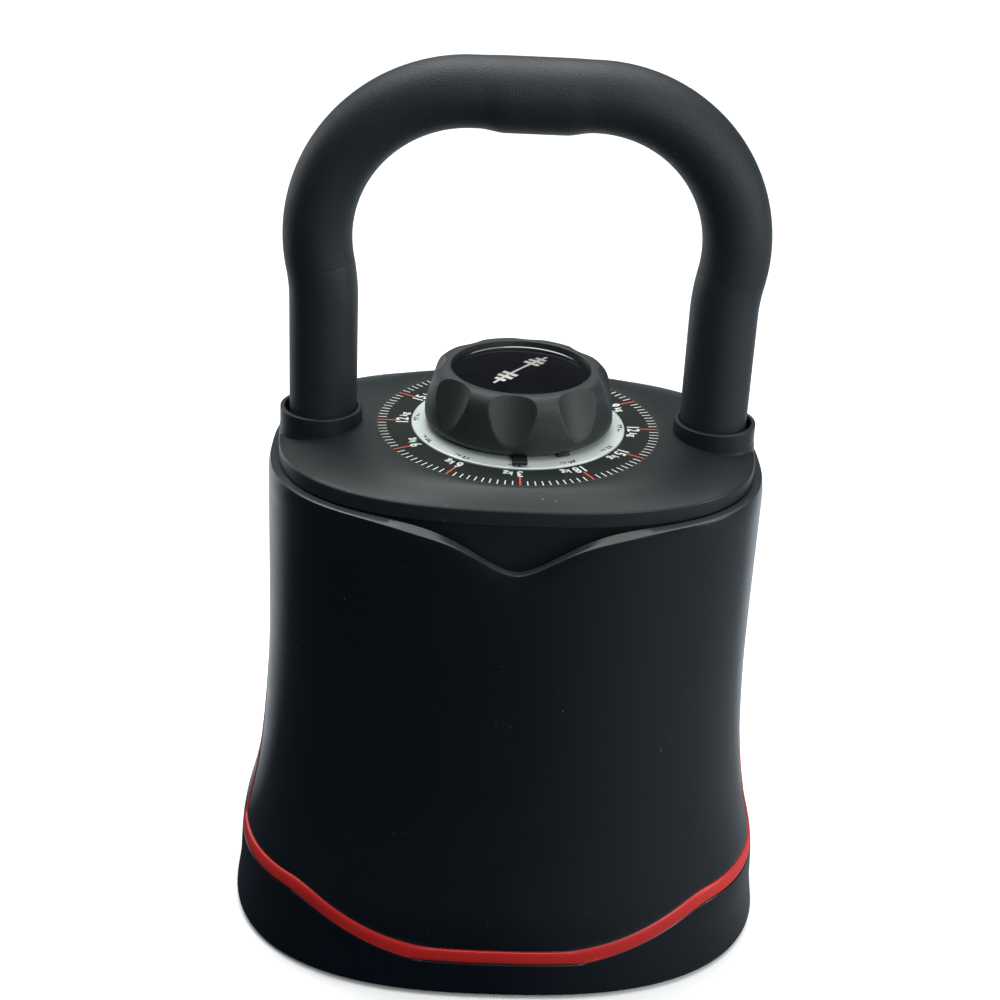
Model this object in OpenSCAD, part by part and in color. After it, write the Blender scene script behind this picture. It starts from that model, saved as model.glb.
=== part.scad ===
// Dial kettlebell that docks in its own tray.
// The handle unit lifts straight up and takes the plates that the dial has picked.
// Origin: centre of the footprint, on the surface that the feet stand on. +Z is up, the dial's zero faces -Y.

/* [Body] */
// Half the body's width, at its straight upper part
body_half_width = 116.3; // [114:0.1:121]
// Half the body's depth, at its straight upper part
body_half_depth = 86; // [84:0.1:89]
// Squareness of every plan outline, 2 is an ellipse
squareness = 2.55; // [2.3:0.05:3]
// Height of the shell's top rim above the floor
rim_z = 244.5; // [243:0.5:246]
// Depth of the dip in the shell's front and back rim
dip_depth = 21.5; // [8:0.5:24]
// Spread of that dip, which is down to a third of its depth this far from the middle
dip_spread = 28; // [20:1:34]

/* [Base] */
// Half the width of the tray where it meets the floor
tray_half_width = 134.5; // [134:0.1:140]
// Height of the tray's lip at the front and back
lip_z = 26.3; // [24:0.1:30]
// Height of the tray's shoulders at the corners
shoulder_z = 47.5; // [40:0.5:70]
// Height of the tray's wings at the sides
wing_z = 139; // [110:1:145]
// Half the width of a wing at its foot
wing_half_width = 22; // [16:1:60]
// Height of the coloured band along the tray's edge
band_height = 7; // [4:0.1:10]

/* [Handle] */
// Distance of each handle leg from the centre
leg_x = 91.5; // [90.5:0.1:92]
// Outer diameter of the grip
grip_diameter = 31.4; // [29:0.1:32]
// Outer diameter of the steel tube in the handle
tube_diameter = 27; // [24:0.5:27]
// Radius of the tube's centreline in the upper corners
corner_radius = 67.5; // [60:0.5:69]
// Height of the grip's centreline above the floor
grip_z = 414.9; // [400:0.1:420]

/* [Dial] */
// Height of the printed dial above the floor
dial_z = 258; // [257.5:0.1:260]
// Outer radius of the printed weight scale
scale_radius = 66.5; // [60:0.5:67]
// Outer radius of the pale inner ring
ring_radius = 50.1; // [48:0.1:52]
// Outer radius of the knob
knob_radius = 44; // [42:0.5:46]
// Height of the knob's top above the dial
knob_height = 29.5; // [28:0.5:31]
// Number of finger scallops round the knob
scallops = 8; // [6:1:10]

/* [Weights] */
// Radius of the cams that catch the plates
cam_radius = 30; // [28:0.5:30.5]
// Thickness of one plate
plate_height = 38.8; // [38:0.1:39]
// Gap between neighbouring plates
plate_gap = 0.4; // [0.3:0.1:0.4]

/* [Hidden] */

$fn = 64;
outline_points = 72;
through = 400;

// Tray and shell heights
foot_lift = 2;
foot_x = 93;
foot_y = 56;
tray_underside = 7;
tray_floor = 12;
plates = 5;
plate_pitch = plate_height + plate_gap;
stack_top = tray_floor + plate_gap + plates * plate_pitch;

// Walls of the shell, from the outside in
sleeve_half_width = body_half_width - 0.9;
sleeve_half_depth = body_half_depth - 1.6;
shell_wall = 2.8;
inner_half_width = sleeve_half_width - shell_wall;
inner_half_depth = sleeve_half_depth - shell_wall;
tray_clearance = 0.6;
band_depth = 2.5;
seam_gap = 0.5;

// Flare of the tray's outside, as [height, growth of the half width]
tray_flare = [
    [foot_lift, tray_half_width - body_half_width], [10, 17], [21, 15.7], [34, 15], [44, 13.9],
    [59, 10], [78, 6.1], [96, 3.8], [113, 2.5], [131, 1.4], [150, 0.7]
];
flare_depth_ratio = 0.87;
lip_end_y = 97.5;
lip_run = 27;
shell_inset = 0.4;
dip_end = 2.5 * dip_spread;

// Cover
cover_half_width = 111.5;
cover_half_depth = 80;
cover_edge_z = dial_z - 6;
apron_z = stack_top + 2;
apron_step = 1.2;
cover_wall = 2.5;
cover_ceiling = cover_edge_z - 3.5;
collar_radius = 19.15;
collar_bore = 16.85;
collar_height = 12;

// Carrier plate and what stands on it
carrier_top = 225;
carrier_bottom = 220;
carrier_half_width = 106.2;
carrier_half_depth = 74;
post_places = [[62, 45], [62, -45], [-62, 45], [-62, -45]];
bridge_posts = [[43, 0], [-43, 0]];
screw_radius = 2;
screw_head_radius = 3.6;
screw_head_height = 2.6;
shell_screw_y = 28;
shell_screw_z = 233;
shell_screw_radius = 1.6;

// Handle path
grip_radius = grip_diameter / 2;
tube_radius = tube_diameter / 2;
tube_bore = tube_radius - 2;
tuck_angle = 11;
tuck_radius = 90;
tuck_x = leg_x + tuck_radius * (1 - cos(tuck_angle));
corner_x = tuck_x - corner_radius * cos(tuck_angle);
corner_z = grip_z - corner_radius;
tuck_top_z = corner_z - corner_radius * sin(tuck_angle);
tuck_bottom_z = tuck_top_z - tuck_radius * sin(tuck_angle);
swell_half_length = 25;
palm_swell = 0.9;
cap_depth = 4.6;
swell_ramp = 12;
corner_steps = 12;
pipe_sides = 24;
sleeve_gap = 0.02;
bolt_radius = 5;

// Turning parts
spindle_radius = 8;
spindle_bottom = 14;
spindle_top = dial_z + 18;
bushing_bore = spindle_radius + 0.05;
bushing_radius = 11;
bushing_bottom = 214;
bushing_flange = 2.5;
key_width = 5;
key_reach = 10;
key_bottom = 30;
wheel_bottom = carrier_top + bushing_flange + 0.1;
wheel_height = 8;
wheel_top = wheel_bottom + wheel_height;
wheel_radius = 34;
steps = 12;
step_angle = 360 / steps;
detent_radius = 22;
ball_radius = 3;
ball_z = wheel_top + ball_radius / 2;
dimple_radius = ball_radius + 0.1;
bridge_bottom = wheel_top + 5.4;
bridge_top = cover_ceiling - 0.3;
spring_top = bridge_top - 0.9;

// Cams and ledges
ledge_inner = 20;
hub_bore = cam_radius + 2;
hub_radius = hub_bore + 5;
ledge_bottom = 24;
ledge_height = 10;
ledge_trim = 2;
cam_trim = 1;
cam_height = 5;
cam_drop = 1.5;
cam_hub_radius = 12;
spacer_radius = 11;
plate_half_width = inner_half_width - 0.8;
plate_half_depth = inner_half_depth - 0.8;
skin = 2.5;

// Interlock
lock_y = 58;
lock_radius = 3;
lock_hole = 4.5;
lock_fit = 0.08;
lock_travel = 6;
post_radius = 3.5;
post_top = 20;
tooth_width = 5;
tooth_height = 4;
tooth_bottom = wheel_top + 1;
notch_floor = 28.5;
tooth_tip = 30;
lock_spring_radius = 4.6;

function bend(t, power) = sign(t) * pow(abs(t), power);
function outline(a, b, n = squareness) = [
    for (i = [0 : outline_points - 1])
        let (t = 360 * i / outline_points)
        [a * bend(cos(t), 2 / n), b * bend(sin(t), 2 / n)]
];
function smooth(t) = let (u = min(max(t, 0), 1)) u * u * (3 - 2 * u);

edge_stations = [for (y = [-97.5 : 2.5 : 97.5]) y];

// Height of the tray's edge at a distance y from the middle plane
function edge_z(y) =
    let (rise = min(max((lip_end_y - abs(y)) / lip_run, 0), 1))
    lip_z + (shoulder_z - lip_z) * sin(90 * rise)
        + (wing_z - shoulder_z) * smooth((wing_half_width - abs(y)) / wing_half_width);

// Height of the shell's rim at a distance x from the middle plane
function dip_z(x) = rim_z - dip_depth * exp(-pow(abs(x) / dip_spread, 1.75));

function plate_z(j) = tray_floor + plate_gap + (plates - j) * plate_pitch;
function cam_z(j) = plate_z(j) + ledge_bottom - cam_drop - cam_height;

module slab(a, b, z0, z1) {
    translate([0, 0, z0])
        linear_extrude(z1 - z0)
            polygon(outline(a, b));
}

module rod(radius, z0, z1) {
    translate([0, 0, z0])
        cylinder(r = radius, h = z1 - z0);
}

// Solid through rings of [half width, half depth, height, squareness], from the bottom up
module loft(rings) {
    n = outline_points;
    last = len(rings) - 1;
    points = [
        for (ring = rings)
            for (p = outline(ring[0], ring[1], len(ring) > 3 ? ring[3] : squareness))
                [p[0], p[1], ring[2]]
    ];
    bottom = [[for (i = [0 : n - 1]) i]];
    top = [[for (i = [n - 1 : -1 : 0]) last * n + i]];
    sides = [
        for (k = [0 : last - 1])
            for (i = [0 : n - 1])
                let (a = k * n + i, b = k * n + (i + 1) % n)
                each [[a, a + n, b + n], [a, b + n, b]]
    ];
    polyhedron(points, concat(bottom, top, sides));
}

// Outside of the tray, drawn in by an inset
function flared(inset) = [
    for (row = tray_flare)
        [body_half_width + row[1] - inset, body_half_depth + flare_depth_ratio * row[1] - inset, row[0]]
];

// Everything below the tray's edge, lowered by a drop
module below_edge(drop) {
    reach = tray_half_width;
    rotate([90, 0, 90])
        translate([0, 0, -through / 2])
            linear_extrude(through)
                polygon(concat(
                    [[reach, -1], [-reach, -1]],
                    [for (y = concat([-reach], edge_stations, [reach])) [y, edge_z(y) - drop]]
                ));
}

// A coil spring standing on a height z
module coil(radius, wire, z, height, turns) {
    per_turn = 14;
    sides = 6;
    count = turns * per_turn;
    points = [
        for (k = [0 : count])
            for (s = [0 : sides - 1])
                let (a = 360 * k / per_turn, b = 360 * s / sides, r = radius + wire * cos(b))
                [r * cos(a), r * sin(a), z + wire + (height - 2 * wire) * k / count + wire * sin(b)]
    ];
    tube = [
        for (k = [0 : count - 1])
            for (s = [0 : sides - 1])
                let (a = k * sides + s, b = k * sides + (s + 1) % sides)
                each [[a, b, b + sides], [a, b + sides, a + sides]]
    ];
    ends = [
        [for (s = [sides - 1 : -1 : 0]) s],
        [for (s = [0 : sides - 1]) count * sides + s]
    ];
    polyhedron(points, concat(tube, ends));
}

module both_sides() {
    children();
    mirror([1, 0, 0])
        children();
}

// ---- Housing ----

module cover_dome() {
    edge = [for (z = [apron_z, rim_z]) [cover_half_width - apron_step, cover_half_depth - apron_step, z]];
    brim = [for (z = [rim_z, cover_edge_z - 1]) [cover_half_width, cover_half_depth, z]];
    dome = [
        for (s = [0 : 0.2 : 1])
            [
                cover_half_width - 0.6 + (scale_radius + 0.6 - cover_half_width) * s,
                cover_half_depth - 0.6 + (scale_radius + 0.6 - cover_half_depth) * s,
                cover_edge_z + (dial_z - cover_edge_z) * sin(90 * s),
                squareness + (2 - squareness) * s
            ]
    ];
    loft(concat(edge, brim, dome));
}

module top_cover() {
    color("#3a3f42")
    difference() {
        union() {
            difference() {
                union() {
                    cover_dome();
                    both_sides()
                        translate([leg_x + 0.9, 0, 0]) {
                            rod(collar_radius, dial_z - collar_height, dial_z + 6.5);
                            translate([0, 0, dial_z - 4.5])
                                cylinder(r1 = collar_radius + 0.6, r2 = collar_radius, h = 3);
                        }
                }
                inset = apron_step + cover_wall;
                slab(cover_half_width - inset, cover_half_depth - inset, apron_z - 1, cover_ceiling);
            }
            for (place = post_places)
                translate([place[0], place[1], 0])
                    rod(5, carrier_top, cover_ceiling + 1);
        }
        rod(48, cover_ceiling - 1, dial_z - 4);
        rod(13, cover_ceiling, dial_z + 1);
        rod(scale_radius + 0.2, dial_z - 0.8, dial_z + 1);
        both_sides()
            translate([leg_x + 0.9, 0, 0])
                rod(collar_bore, cover_ceiling - 1, dial_z + 8);
        for (place = post_places)
            translate([place[0], place[1], 0])
                rod(screw_radius, carrier_top - 1, carrier_top + 14);
        for (y = [-shell_screw_y, shell_screw_y])
            translate([-through / 2, y, shell_screw_z])
                rotate([0, 90, 0])
                    cylinder(r = shell_screw_radius + 0.3, h = through);
    }
}

module outer_shell() {
    color("#22272b")
    difference() {
        union() {
            difference() {
                loft(concat(
                    [for (row = flared(shell_inset)) if (row[2] >= 21) row],
                    [[body_half_width, body_half_depth, 165]],
                    [[body_half_width, body_half_depth, rim_z - 1]],
                    [[body_half_width - 1, body_half_depth - 1, rim_z]]
                ));
                below_edge(-seam_gap);
            }
            slab(sleeve_half_width, sleeve_half_depth, tray_floor + plate_gap, rim_z - 4);
        }
        slab(inner_half_width, inner_half_depth, 0, rim_z - 3);
        slab(cover_half_width + seam_gap, cover_half_depth + seam_gap, rim_z - 4, rim_z + 1);
        rotate([90, 0, 0])
            translate([0, 0, -through / 2])
                linear_extrude(through)
                    polygon(concat(
                        [[dip_end, rim_z + 9], [-dip_end, rim_z + 9]],
                        [for (s = [-1 : 0.05 : 1]) [s * dip_end, dip_z(s * dip_end)]]
                    ));
        for (y = [-shell_screw_y, shell_screw_y])
            translate([-inner_half_width, y, shell_screw_z])
                rotate([0, 90, 0])
                    cylinder(r = shell_screw_radius, h = 2 * inner_half_width);
    }
}

// The handle's path as stations of [x, z, direction, swell], where swell thickens the grip in the palm
function leg_stations(bottom) = concat(
    [[leg_x, bottom, 90, 0]],
    [
        for (a = [0 : tuck_angle / 3 : tuck_angle])
            [leg_x + tuck_radius * (1 - cos(a)), tuck_bottom_z + tuck_radius * sin(a), 90 - a, 0]
    ]
);
function corner_stations() = [
    for (k = [0 : corner_steps])
        let (a = -tuck_angle + (90 + tuck_angle) * k / corner_steps)
        [corner_x + corner_radius * cos(a), corner_z + corner_radius * sin(a), 90 + a, 0]
];
function palm_stations() = [
    for (part = [0 : 0.5 : 1])
        [swell_half_length - swell_ramp * part, grip_z, 180, palm_swell * part]
];
function mirrored(stations) = [
    for (k = [len(stations) - 1 : -1 : 0])
        let (s = stations[k])
        [-s[0], s[1], 360 - s[2], s[3]]
];
function arch_stations() =
    let (half = concat(corner_stations(), palm_stations()))
    concat(half, mirrored(half));

// Tube along a list of stations
module pipe(stations, radius, bore) {
    last = len(stations) - 1;
    n = pipe_sides;
    points = [
        for (s = stations)
            for (wall = [[radius + s[3], 0.75 * s[3]], [bore, 0]])
                for (i = [0 : n - 1])
                    let (a = 360 * i / n, r = wall[0] * cos(a))
                    [s[0] + r * sin(s[2]), wall[0] * sin(a), s[1] - r * cos(s[2]) - wall[1]]
    ];
    walls = [
        for (k = [0 : last - 1])
            for (i = [0 : n - 1])
                let (a = 2 * n * k + i, b = 2 * n * k + (i + 1) % n, up = 2 * n)
                each [
                    [a, a + up, b + up], [a, b + up, b],
                    [a + n, b + up + n, a + up + n], [a + n, b + n, b + up + n]
                ]
    ];
    ends = [
        for (i = [0 : n - 1])
            let (j = (i + 1) % n, far = 2 * n * last)
            each [
                [i, j, j + n], [i, j + n, i + n],
                [far + i, far + j + n, far + j], [far + i, far + i + n, far + j + n]
            ]
    ];
    polyhedron(points, concat(walls, ends));
}

module handle_tube() {
    half = leg_stations(carrier_top);
    color("#8d9296")
    pipe(concat(half, corner_tail(), mirrored(concat(half, corner_tail()))), tube_radius, tube_bore);
}

function corner_tail() =
    let (corner = corner_stations())
    [for (k = [1 : len(corner) - 1]) corner[k]];

module grip_sleeve() {
    color("#2b3032")
    pipe(arch_stations(), grip_radius, tube_radius + sleeve_gap);
}

module leg_sleeves() {
    color("#262b2d")
    both_sides()
        pipe(leg_stations(carrier_top), grip_radius, tube_radius + sleeve_gap);
}

module leg_inserts() {
    color("#7d8388")
    both_sides()
        translate([leg_x, 0, 0])
            difference() {
                rod(tube_bore - 0.2, carrier_top, carrier_top + 26);
                rod(bolt_radius, carrier_top - 1, carrier_top + 22);
            }
}

module handle_bolts() {
    color("#6f7478")
    both_sides()
        translate([leg_x, 0, 0]) {
            rod(bolt_radius, carrier_bottom - 1.6, carrier_top + 18);
            translate([0, 0, carrier_bottom - 8])
                cylinder(r = 8, h = 6.4, $fn = 6);
        }
}

module handle_washers() {
    color("#9a9fa3")
    both_sides()
        translate([leg_x, 0, 0])
            difference() {
                rod(10, carrier_bottom - 1.6, carrier_bottom);
                rod(bolt_radius, carrier_bottom - 2, carrier_bottom + 1);
            }
}

module carrier_plate() {
    color("#888e93")
    difference() {
        slab(carrier_half_width, carrier_half_depth, carrier_bottom, carrier_top);
        rod(bushing_radius, carrier_bottom - 1, carrier_top + 1);
        both_sides()
            translate([leg_x, 0, 0])
                rod(bolt_radius, carrier_bottom - 1, carrier_top + 1);
        for (place = concat(post_places, bridge_posts))
            translate([place[0], place[1], 0])
                rod(screw_radius + 0.3, carrier_bottom - 1, carrier_top + 1);
        translate([0, lock_y, 0])
            rod(lock_radius + lock_fit, carrier_bottom - 1, carrier_top + 1);
    }
}

module carrier_screws() {
    color("#a3a8ab")
    for (place = concat(post_places, bridge_posts))
        translate([place[0], place[1], 0]) {
            rod(screw_radius, carrier_bottom - 0.5, carrier_top + 12);
            rod(screw_head_radius, carrier_bottom - screw_head_height, carrier_bottom);
        }
}

module shell_screws() {
    reach = inner_half_width - 0.4;
    seat = 103.1;
    color("#a3a8ab")
    both_sides()
        for (y = [-shell_screw_y, shell_screw_y])
            translate([seat, y, shell_screw_z])
                rotate([0, 90, 0]) {
                    cylinder(r = shell_screw_radius, h = reach - seat);
                    translate([0, 0, -1.6])
                        cylinder(r = 3.2, h = 1.8);
                }
}

module spindle_bushing() {
    color("#c9a86a")
    difference() {
        union() {
            rod(bushing_radius, bushing_bottom, carrier_top);
            rod(16, carrier_top, carrier_top + bushing_flange);
        }
        rod(bushing_bore, bushing_bottom - 1, carrier_top + bushing_flange + 1);
    }
}

module weight_scale() {
    color("#33373a")
    difference() {
        rod(scale_radius, dial_z - 0.8, dial_z);
        rod(ring_radius, dial_z - 1, dial_z + 1);
    }
}

module pound_ring() {
    color("#d5d8da")
    rotate_extrude()
        polygon([
            [34, dial_z - 0.8], [ring_radius, dial_z - 0.8], [ring_radius, dial_z + 0.5],
            [ring_radius - 0.5, dial_z + 0.8], [40, dial_z + 1.6], [34, dial_z + 1.6]
        ]);
}

module detent_bridge() {
    color("#4b5054")
    difference() {
        union() {
            translate([-48, -13, bridge_bottom])
                cube([96, 26, bridge_top - bridge_bottom]);
            for (place = bridge_posts)
                translate([place[0], place[1], 0])
                    rod(5, carrier_top, bridge_bottom + 1);
        }
        for (place = bridge_posts)
            translate([place[0], place[1], 0])
                rod(screw_radius, carrier_top - 1, carrier_top + 14);
        both_sides()
            translate([detent_radius, 0, 0])
                rod(ball_radius + 0.1, bridge_bottom - 1, spring_top + 0.1);
        rod(spindle_radius + 1, bridge_bottom - 1, bridge_top + 1);
    }
}

module detent_springs() {
    color("#b9bdc0")
    both_sides()
        translate([detent_radius, 0, 0])
            coil(2.3, 0.35, ball_z + ball_radius + 0.2, spring_top - ball_z - ball_radius - 0.3, 4);
}

// ---- Dial ----

module knob() {
    top = dial_z + knob_height;
    bottom = dial_z + 3.4;
    color("#303436")
    difference() {
        rotate_extrude()
            polygon([
                [0, bottom], [knob_radius - 1.5, bottom], [knob_radius, bottom + 1.5],
                [knob_radius, bottom + 7], [knob_radius - 3, top - 2.5], [knob_radius - 5.5, top],
                [32.5, top], [31.6, top - cap_depth], [0, top - cap_depth]
            ]);
        for (i = [0 : scallops - 1])
            rotate([0, 0, -6 + 360 * i / scallops])
                translate([0, -knob_radius - 7.5, top + 4])
                    rotate([-22, 0, 0])
                        translate([0, 0, -31])
                            cylinder(r1 = 6, r2 = 14.5, h = 31);
        rod(spindle_radius, bottom - 1, spindle_top);
        rod(3.1, bottom, top);
        key_slot(bottom - 1, spindle_top);
    }
}

module knob_cap() {
    top = dial_z + knob_height;
    color("#0d0f12")
    rotate_extrude()
        polygon([
            [0, top - 2.5], [26, top - 2.7], [28, top - cap_depth], [31, top - cap_depth],
            [31, top - 2.5], [30, top - 2.3], [20, top - 1.7], [10, top - 1.15], [0, top - 1]
        ]);
}

module pointer() {
    color("#101214")
    translate([-3.4, -ring_radius + 0.8, dial_z + 1.9])
        cube([6.8, 9, 1.4]);
}

module knob_screw() {
    top = dial_z + knob_height;
    color("#a3a8ab") {
        rod(3, spindle_top - 16, top - cap_depth + 0.2);
        rod(5.5, top - cap_depth, top - cap_depth + 2);
    }
}

module key_slot(z0, z1) {
    translate([0, -key_width / 2, z0])
        cube([key_reach, key_width, z1 - z0]);
}

module spindle() {
    color("#b4b9bd")
    difference() {
        rod(spindle_radius, spindle_bottom, spindle_top);
        key_slot_in_spindle(key_bottom, bushing_bottom - 2);
        key_slot_in_spindle(wheel_bottom, wheel_top + 1);
        rod(3, spindle_top - 17, spindle_top + 1);
    }
}

module key_slot_in_spindle(z0, z1) {
    translate([spindle_radius - 3, -key_width / 2, z0])
        cube([8, key_width, z1 - z0]);
}

module drive_key() {
    color("#8d9296") {
        translate([spindle_radius - 3, -key_width / 2, key_bottom])
            cube([key_reach - spindle_radius + 3, key_width, bushing_bottom - 4 - key_bottom]);
        translate([spindle_radius - 3, -key_width / 2, wheel_bottom])
            cube([key_reach - spindle_radius + 3, key_width, wheel_height]);
    }
}

module detent_wheel() {
    color("#a9adb0")
    difference() {
        rod(wheel_radius, wheel_bottom, wheel_top);
        rod(spindle_radius, wheel_bottom - 1, wheel_top + 1);
        key_slot(wheel_bottom - 1, wheel_top + 1);
        for (i = [0 : steps - 1])
            rotate([0, 0, i * step_angle]) {
                translate([detent_radius, 0, ball_z])
                    sphere(r = dimple_radius);
                translate([notch_floor, -tooth_width / 2 - 0.5, wheel_bottom - 1])
                    cube([10, tooth_width + 1, wheel_height + 2]);
            }
    }
}

// The cam under plate j, whose two wings end where that plate is dropped
module cam(j) {
    width = 180 - j * step_angle - 2 * cam_trim;
    color("#9ba0a4")
    difference() {
        union() {
            rod(cam_hub_radius, cam_z(j), cam_z(j) + cam_height);
            for (turn = [0, 180])
                rotate([0, 0, turn - 180 + j * step_angle + cam_trim])
                    rotate_extrude(angle = width, $fn = 96)
                        translate([cam_hub_radius - 2, cam_z(j)])
                            square([cam_radius - cam_hub_radius + 2, cam_height]);
        }
        rod(spindle_radius, cam_z(j) - 1, cam_z(j) + cam_height + 1);
        key_slot(cam_z(j) - 1, cam_z(j) + cam_height + 1);
    }
}

module cam_spacers() {
    color("#565b5f")
    for (j = [1 : plates])
        difference() {
            z0 = cam_z(j) + cam_height;
            z1 = j == 1 ? bushing_bottom - 1 : cam_z(j - 1);
            rod(spacer_radius, z0, z1);
            rod(spindle_radius, z0 - 1, z1 + 1);
            key_slot(z0 - 1, z1 + 1);
        }
}

module spindle_washer() {
    color("#9a9fa3")
    difference() {
        rod(13, cam_z(plates) - 2.5, cam_z(plates));
        rod(spindle_radius, cam_z(plates) - 3, cam_z(plates) + 1);
        key_slot(cam_z(plates) - 3, cam_z(plates) + 1);
    }
}

module spindle_nut() {
    color("#7d8388")
    difference() {
        translate([0, 0, cam_z(plates) - 12.5])
            cylinder(r = 14, h = 10, $fn = 6);
        rod(spindle_radius, cam_z(plates) - 14, cam_z(plates) - 2);
        key_slot(cam_z(plates) - 14, cam_z(plates) - 2);
    }
}

// ---- Detent and interlock ----

module detent_balls() {
    color("#d0d3d5")
    both_sides()
        translate([detent_radius, 0, ball_z])
            sphere(r = ball_radius);
}

module lock_rod() {
    color("#8d9296")
    translate([0, lock_y, 0]) {
        rod(lock_radius, post_top + 0.3, tooth_bottom + tooth_height + 5);
        translate([-tooth_width / 2, tooth_tip - lock_y, tooth_bottom])
            cube([tooth_width, lock_y - tooth_tip + 3, tooth_height]);
    }
}

module lock_spring() {
    bottom = tooth_bottom + tooth_height + 0.1;
    color("#b9bdc0")
    translate([0, lock_y, 0])
        coil(lock_spring_radius, 0.5, bottom, cover_ceiling - 0.1 - bottom, 3);
}

// ---- Plates ----

module plate_outline(j, inset, z0, z1) {
    difference() {
        slab(plate_half_width - inset, plate_half_depth - inset, plate_z(j) + z0, plate_z(j) + z1);
        rod(hub_radius + inset, plate_z(j) - 1, plate_z(j) + plate_height + 1);
        translate([0, lock_y, 0])
            rod(lock_hole + inset, plate_z(j) - 1, plate_z(j) + plate_height + 1);
    }
}

module plate_skin(j) {
    color("#2a2e31")
    difference() {
        plate_outline(j, 0, 0, plate_height);
        plate_outline(j, skin, -1, plate_height - skin);
    }
}

module plate_fill(j) {
    color("#8b8479")
    plate_outline(j, skin, 0, plate_height - skin);
}

// Steel liner with the two ledges that a cam catches
module plate_hub(j) {
    color("#7a8085") {
        difference() {
            rod(hub_radius, plate_z(j), plate_z(j) + plate_height);
            rod(hub_bore, plate_z(j) - 1, plate_z(j) + plate_height + 1);
        }
        for (turn = [0, 180])
            rotate([0, 0, turn + ledge_trim])
                rotate_extrude(angle = step_angle - 2 * ledge_trim, $fn = 96)
                    translate([ledge_inner, plate_z(j) + ledge_bottom])
                        square([hub_bore - ledge_inner + 1, ledge_height]);
    }
}

// ---- Base ----

module tray_well() {
    slab(sleeve_half_width + tray_clearance, sleeve_half_depth + tray_clearance, tray_floor, 200);
}

module band_seat() {
    loft([for (row = flared(band_depth)) if (row[2] >= 10) row]);
}

module base_tray() {
    color("#23282b")
    difference() {
        union() {
            intersection() {
                loft(flared(0));
                below_edge(band_height);
            }
            intersection() {
                band_seat();
                below_edge(0);
            }
        }
        tray_well();
        slab(tray_half_width - 11, body_half_depth + 6, 0, tray_underside);
        translate([0, lock_y, 0])
            rod(post_radius, tray_underside - 1, tray_floor + 1);
    }
}

module edge_band() {
    color("#b8302c")
    difference() {
        intersection() {
            loft(flared(0));
            below_edge(0);
        }
        below_edge(band_height);
        band_seat();
        tray_well();
    }
}

module release_post() {
    color("#9a9fa3")
    translate([0, lock_y, 0]) {
        rod(post_radius, tray_underside, post_top);
        rod(6, tray_underside - 1.5, tray_underside);
    }
}

module feet() {
    color("#17191b")
    for (x = [-foot_x, foot_x])
        for (y = [-foot_y, foot_y])
            translate([x, y, 0]) {
                cylinder(r1 = 8.5, r2 = 9.5, h = 1.5);
                rod(9.5, 1.5, tray_underside);
            }
}

top_cover();
outer_shell();
handle_tube();
grip_sleeve();
leg_sleeves();
leg_inserts();
handle_bolts();
handle_washers();
carrier_plate();
carrier_screws();
shell_screws();
spindle_bushing();
weight_scale();
pound_ring();
detent_bridge();
detent_springs();
knob();
knob_cap();
pointer();
knob_screw();
spindle();
drive_key();
detent_wheel();
cam(1);  // cam_1
cam(2);  // cam_2
cam(3);  // cam_3
cam(4);  // cam_4
cam(5);  // cam_5
cam_spacers();
spindle_washer();
spindle_nut();
detent_balls();
lock_rod();
lock_spring();
plate_skin(1);  // plate_skin_1
plate_skin(2);  // plate_skin_2
plate_skin(3);  // plate_skin_3
plate_skin(4);  // plate_skin_4
plate_skin(5);  // plate_skin_5
plate_fill(1);  // plate_fill_1
plate_fill(2);  // plate_fill_2
plate_fill(3);  // plate_fill_3
plate_fill(4);  // plate_fill_4
plate_fill(5);  // plate_fill_5
plate_hub(1);  // plate_hub_1
plate_hub(2);  // plate_hub_2
plate_hub(3);  // plate_hub_3
plate_hub(4);  // plate_hub_4
plate_hub(5);  // plate_hub_5
base_tray();
edge_band();
release_post();
feet();
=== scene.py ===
"""A dial kettlebell in its docking tray: the looks of every piece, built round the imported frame."""

import math

import bmesh
import bpy
from mathutils import Matrix, Vector


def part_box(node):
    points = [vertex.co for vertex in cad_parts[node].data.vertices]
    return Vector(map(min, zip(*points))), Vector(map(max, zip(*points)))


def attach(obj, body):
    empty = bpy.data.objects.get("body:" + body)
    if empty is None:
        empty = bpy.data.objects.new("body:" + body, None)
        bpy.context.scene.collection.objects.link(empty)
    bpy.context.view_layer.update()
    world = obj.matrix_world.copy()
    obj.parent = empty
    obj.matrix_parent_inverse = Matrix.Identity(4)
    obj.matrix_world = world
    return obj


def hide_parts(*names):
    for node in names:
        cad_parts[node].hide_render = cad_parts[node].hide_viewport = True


bl_info = {
    "name": "Dial Kettlebell",
    "version": (1, 0, 0),
    "blender": (4, 5, 0),
    "location": "View3D > Sidebar > Kettlebell",
    "description": "Builds the housing, handle, dial, plates and docking tray of a dial kettlebell",
    "category": "Add Mesh",
}

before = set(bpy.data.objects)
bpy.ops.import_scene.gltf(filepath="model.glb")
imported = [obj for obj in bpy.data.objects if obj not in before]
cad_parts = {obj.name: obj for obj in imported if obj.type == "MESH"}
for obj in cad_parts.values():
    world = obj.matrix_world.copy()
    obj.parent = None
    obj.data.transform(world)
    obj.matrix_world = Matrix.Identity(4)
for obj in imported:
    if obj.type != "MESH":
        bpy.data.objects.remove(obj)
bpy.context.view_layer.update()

MM = 0.001
SKIRT_INSET = 0.4 * MM
UP = Vector((0, 0, 1))
DIAL_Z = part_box("weight_scale")[1].z
STEP = math.radians(30)
PLATES = range(1, 6)

# Outside of the tray and the shell's skirt, as (height, growth of the half width), in millimetres
FLARE = [
    (2, 18.2), (10, 17), (21, 15.7), (34, 15), (44, 13.9), (59, 10),
    (78, 6.1), (96, 3.8), (113, 2.4), (131, 1.4), (150, 0.7), (170, 0.4),
]


# ---- Sizes and colours that a user may change ----


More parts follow.
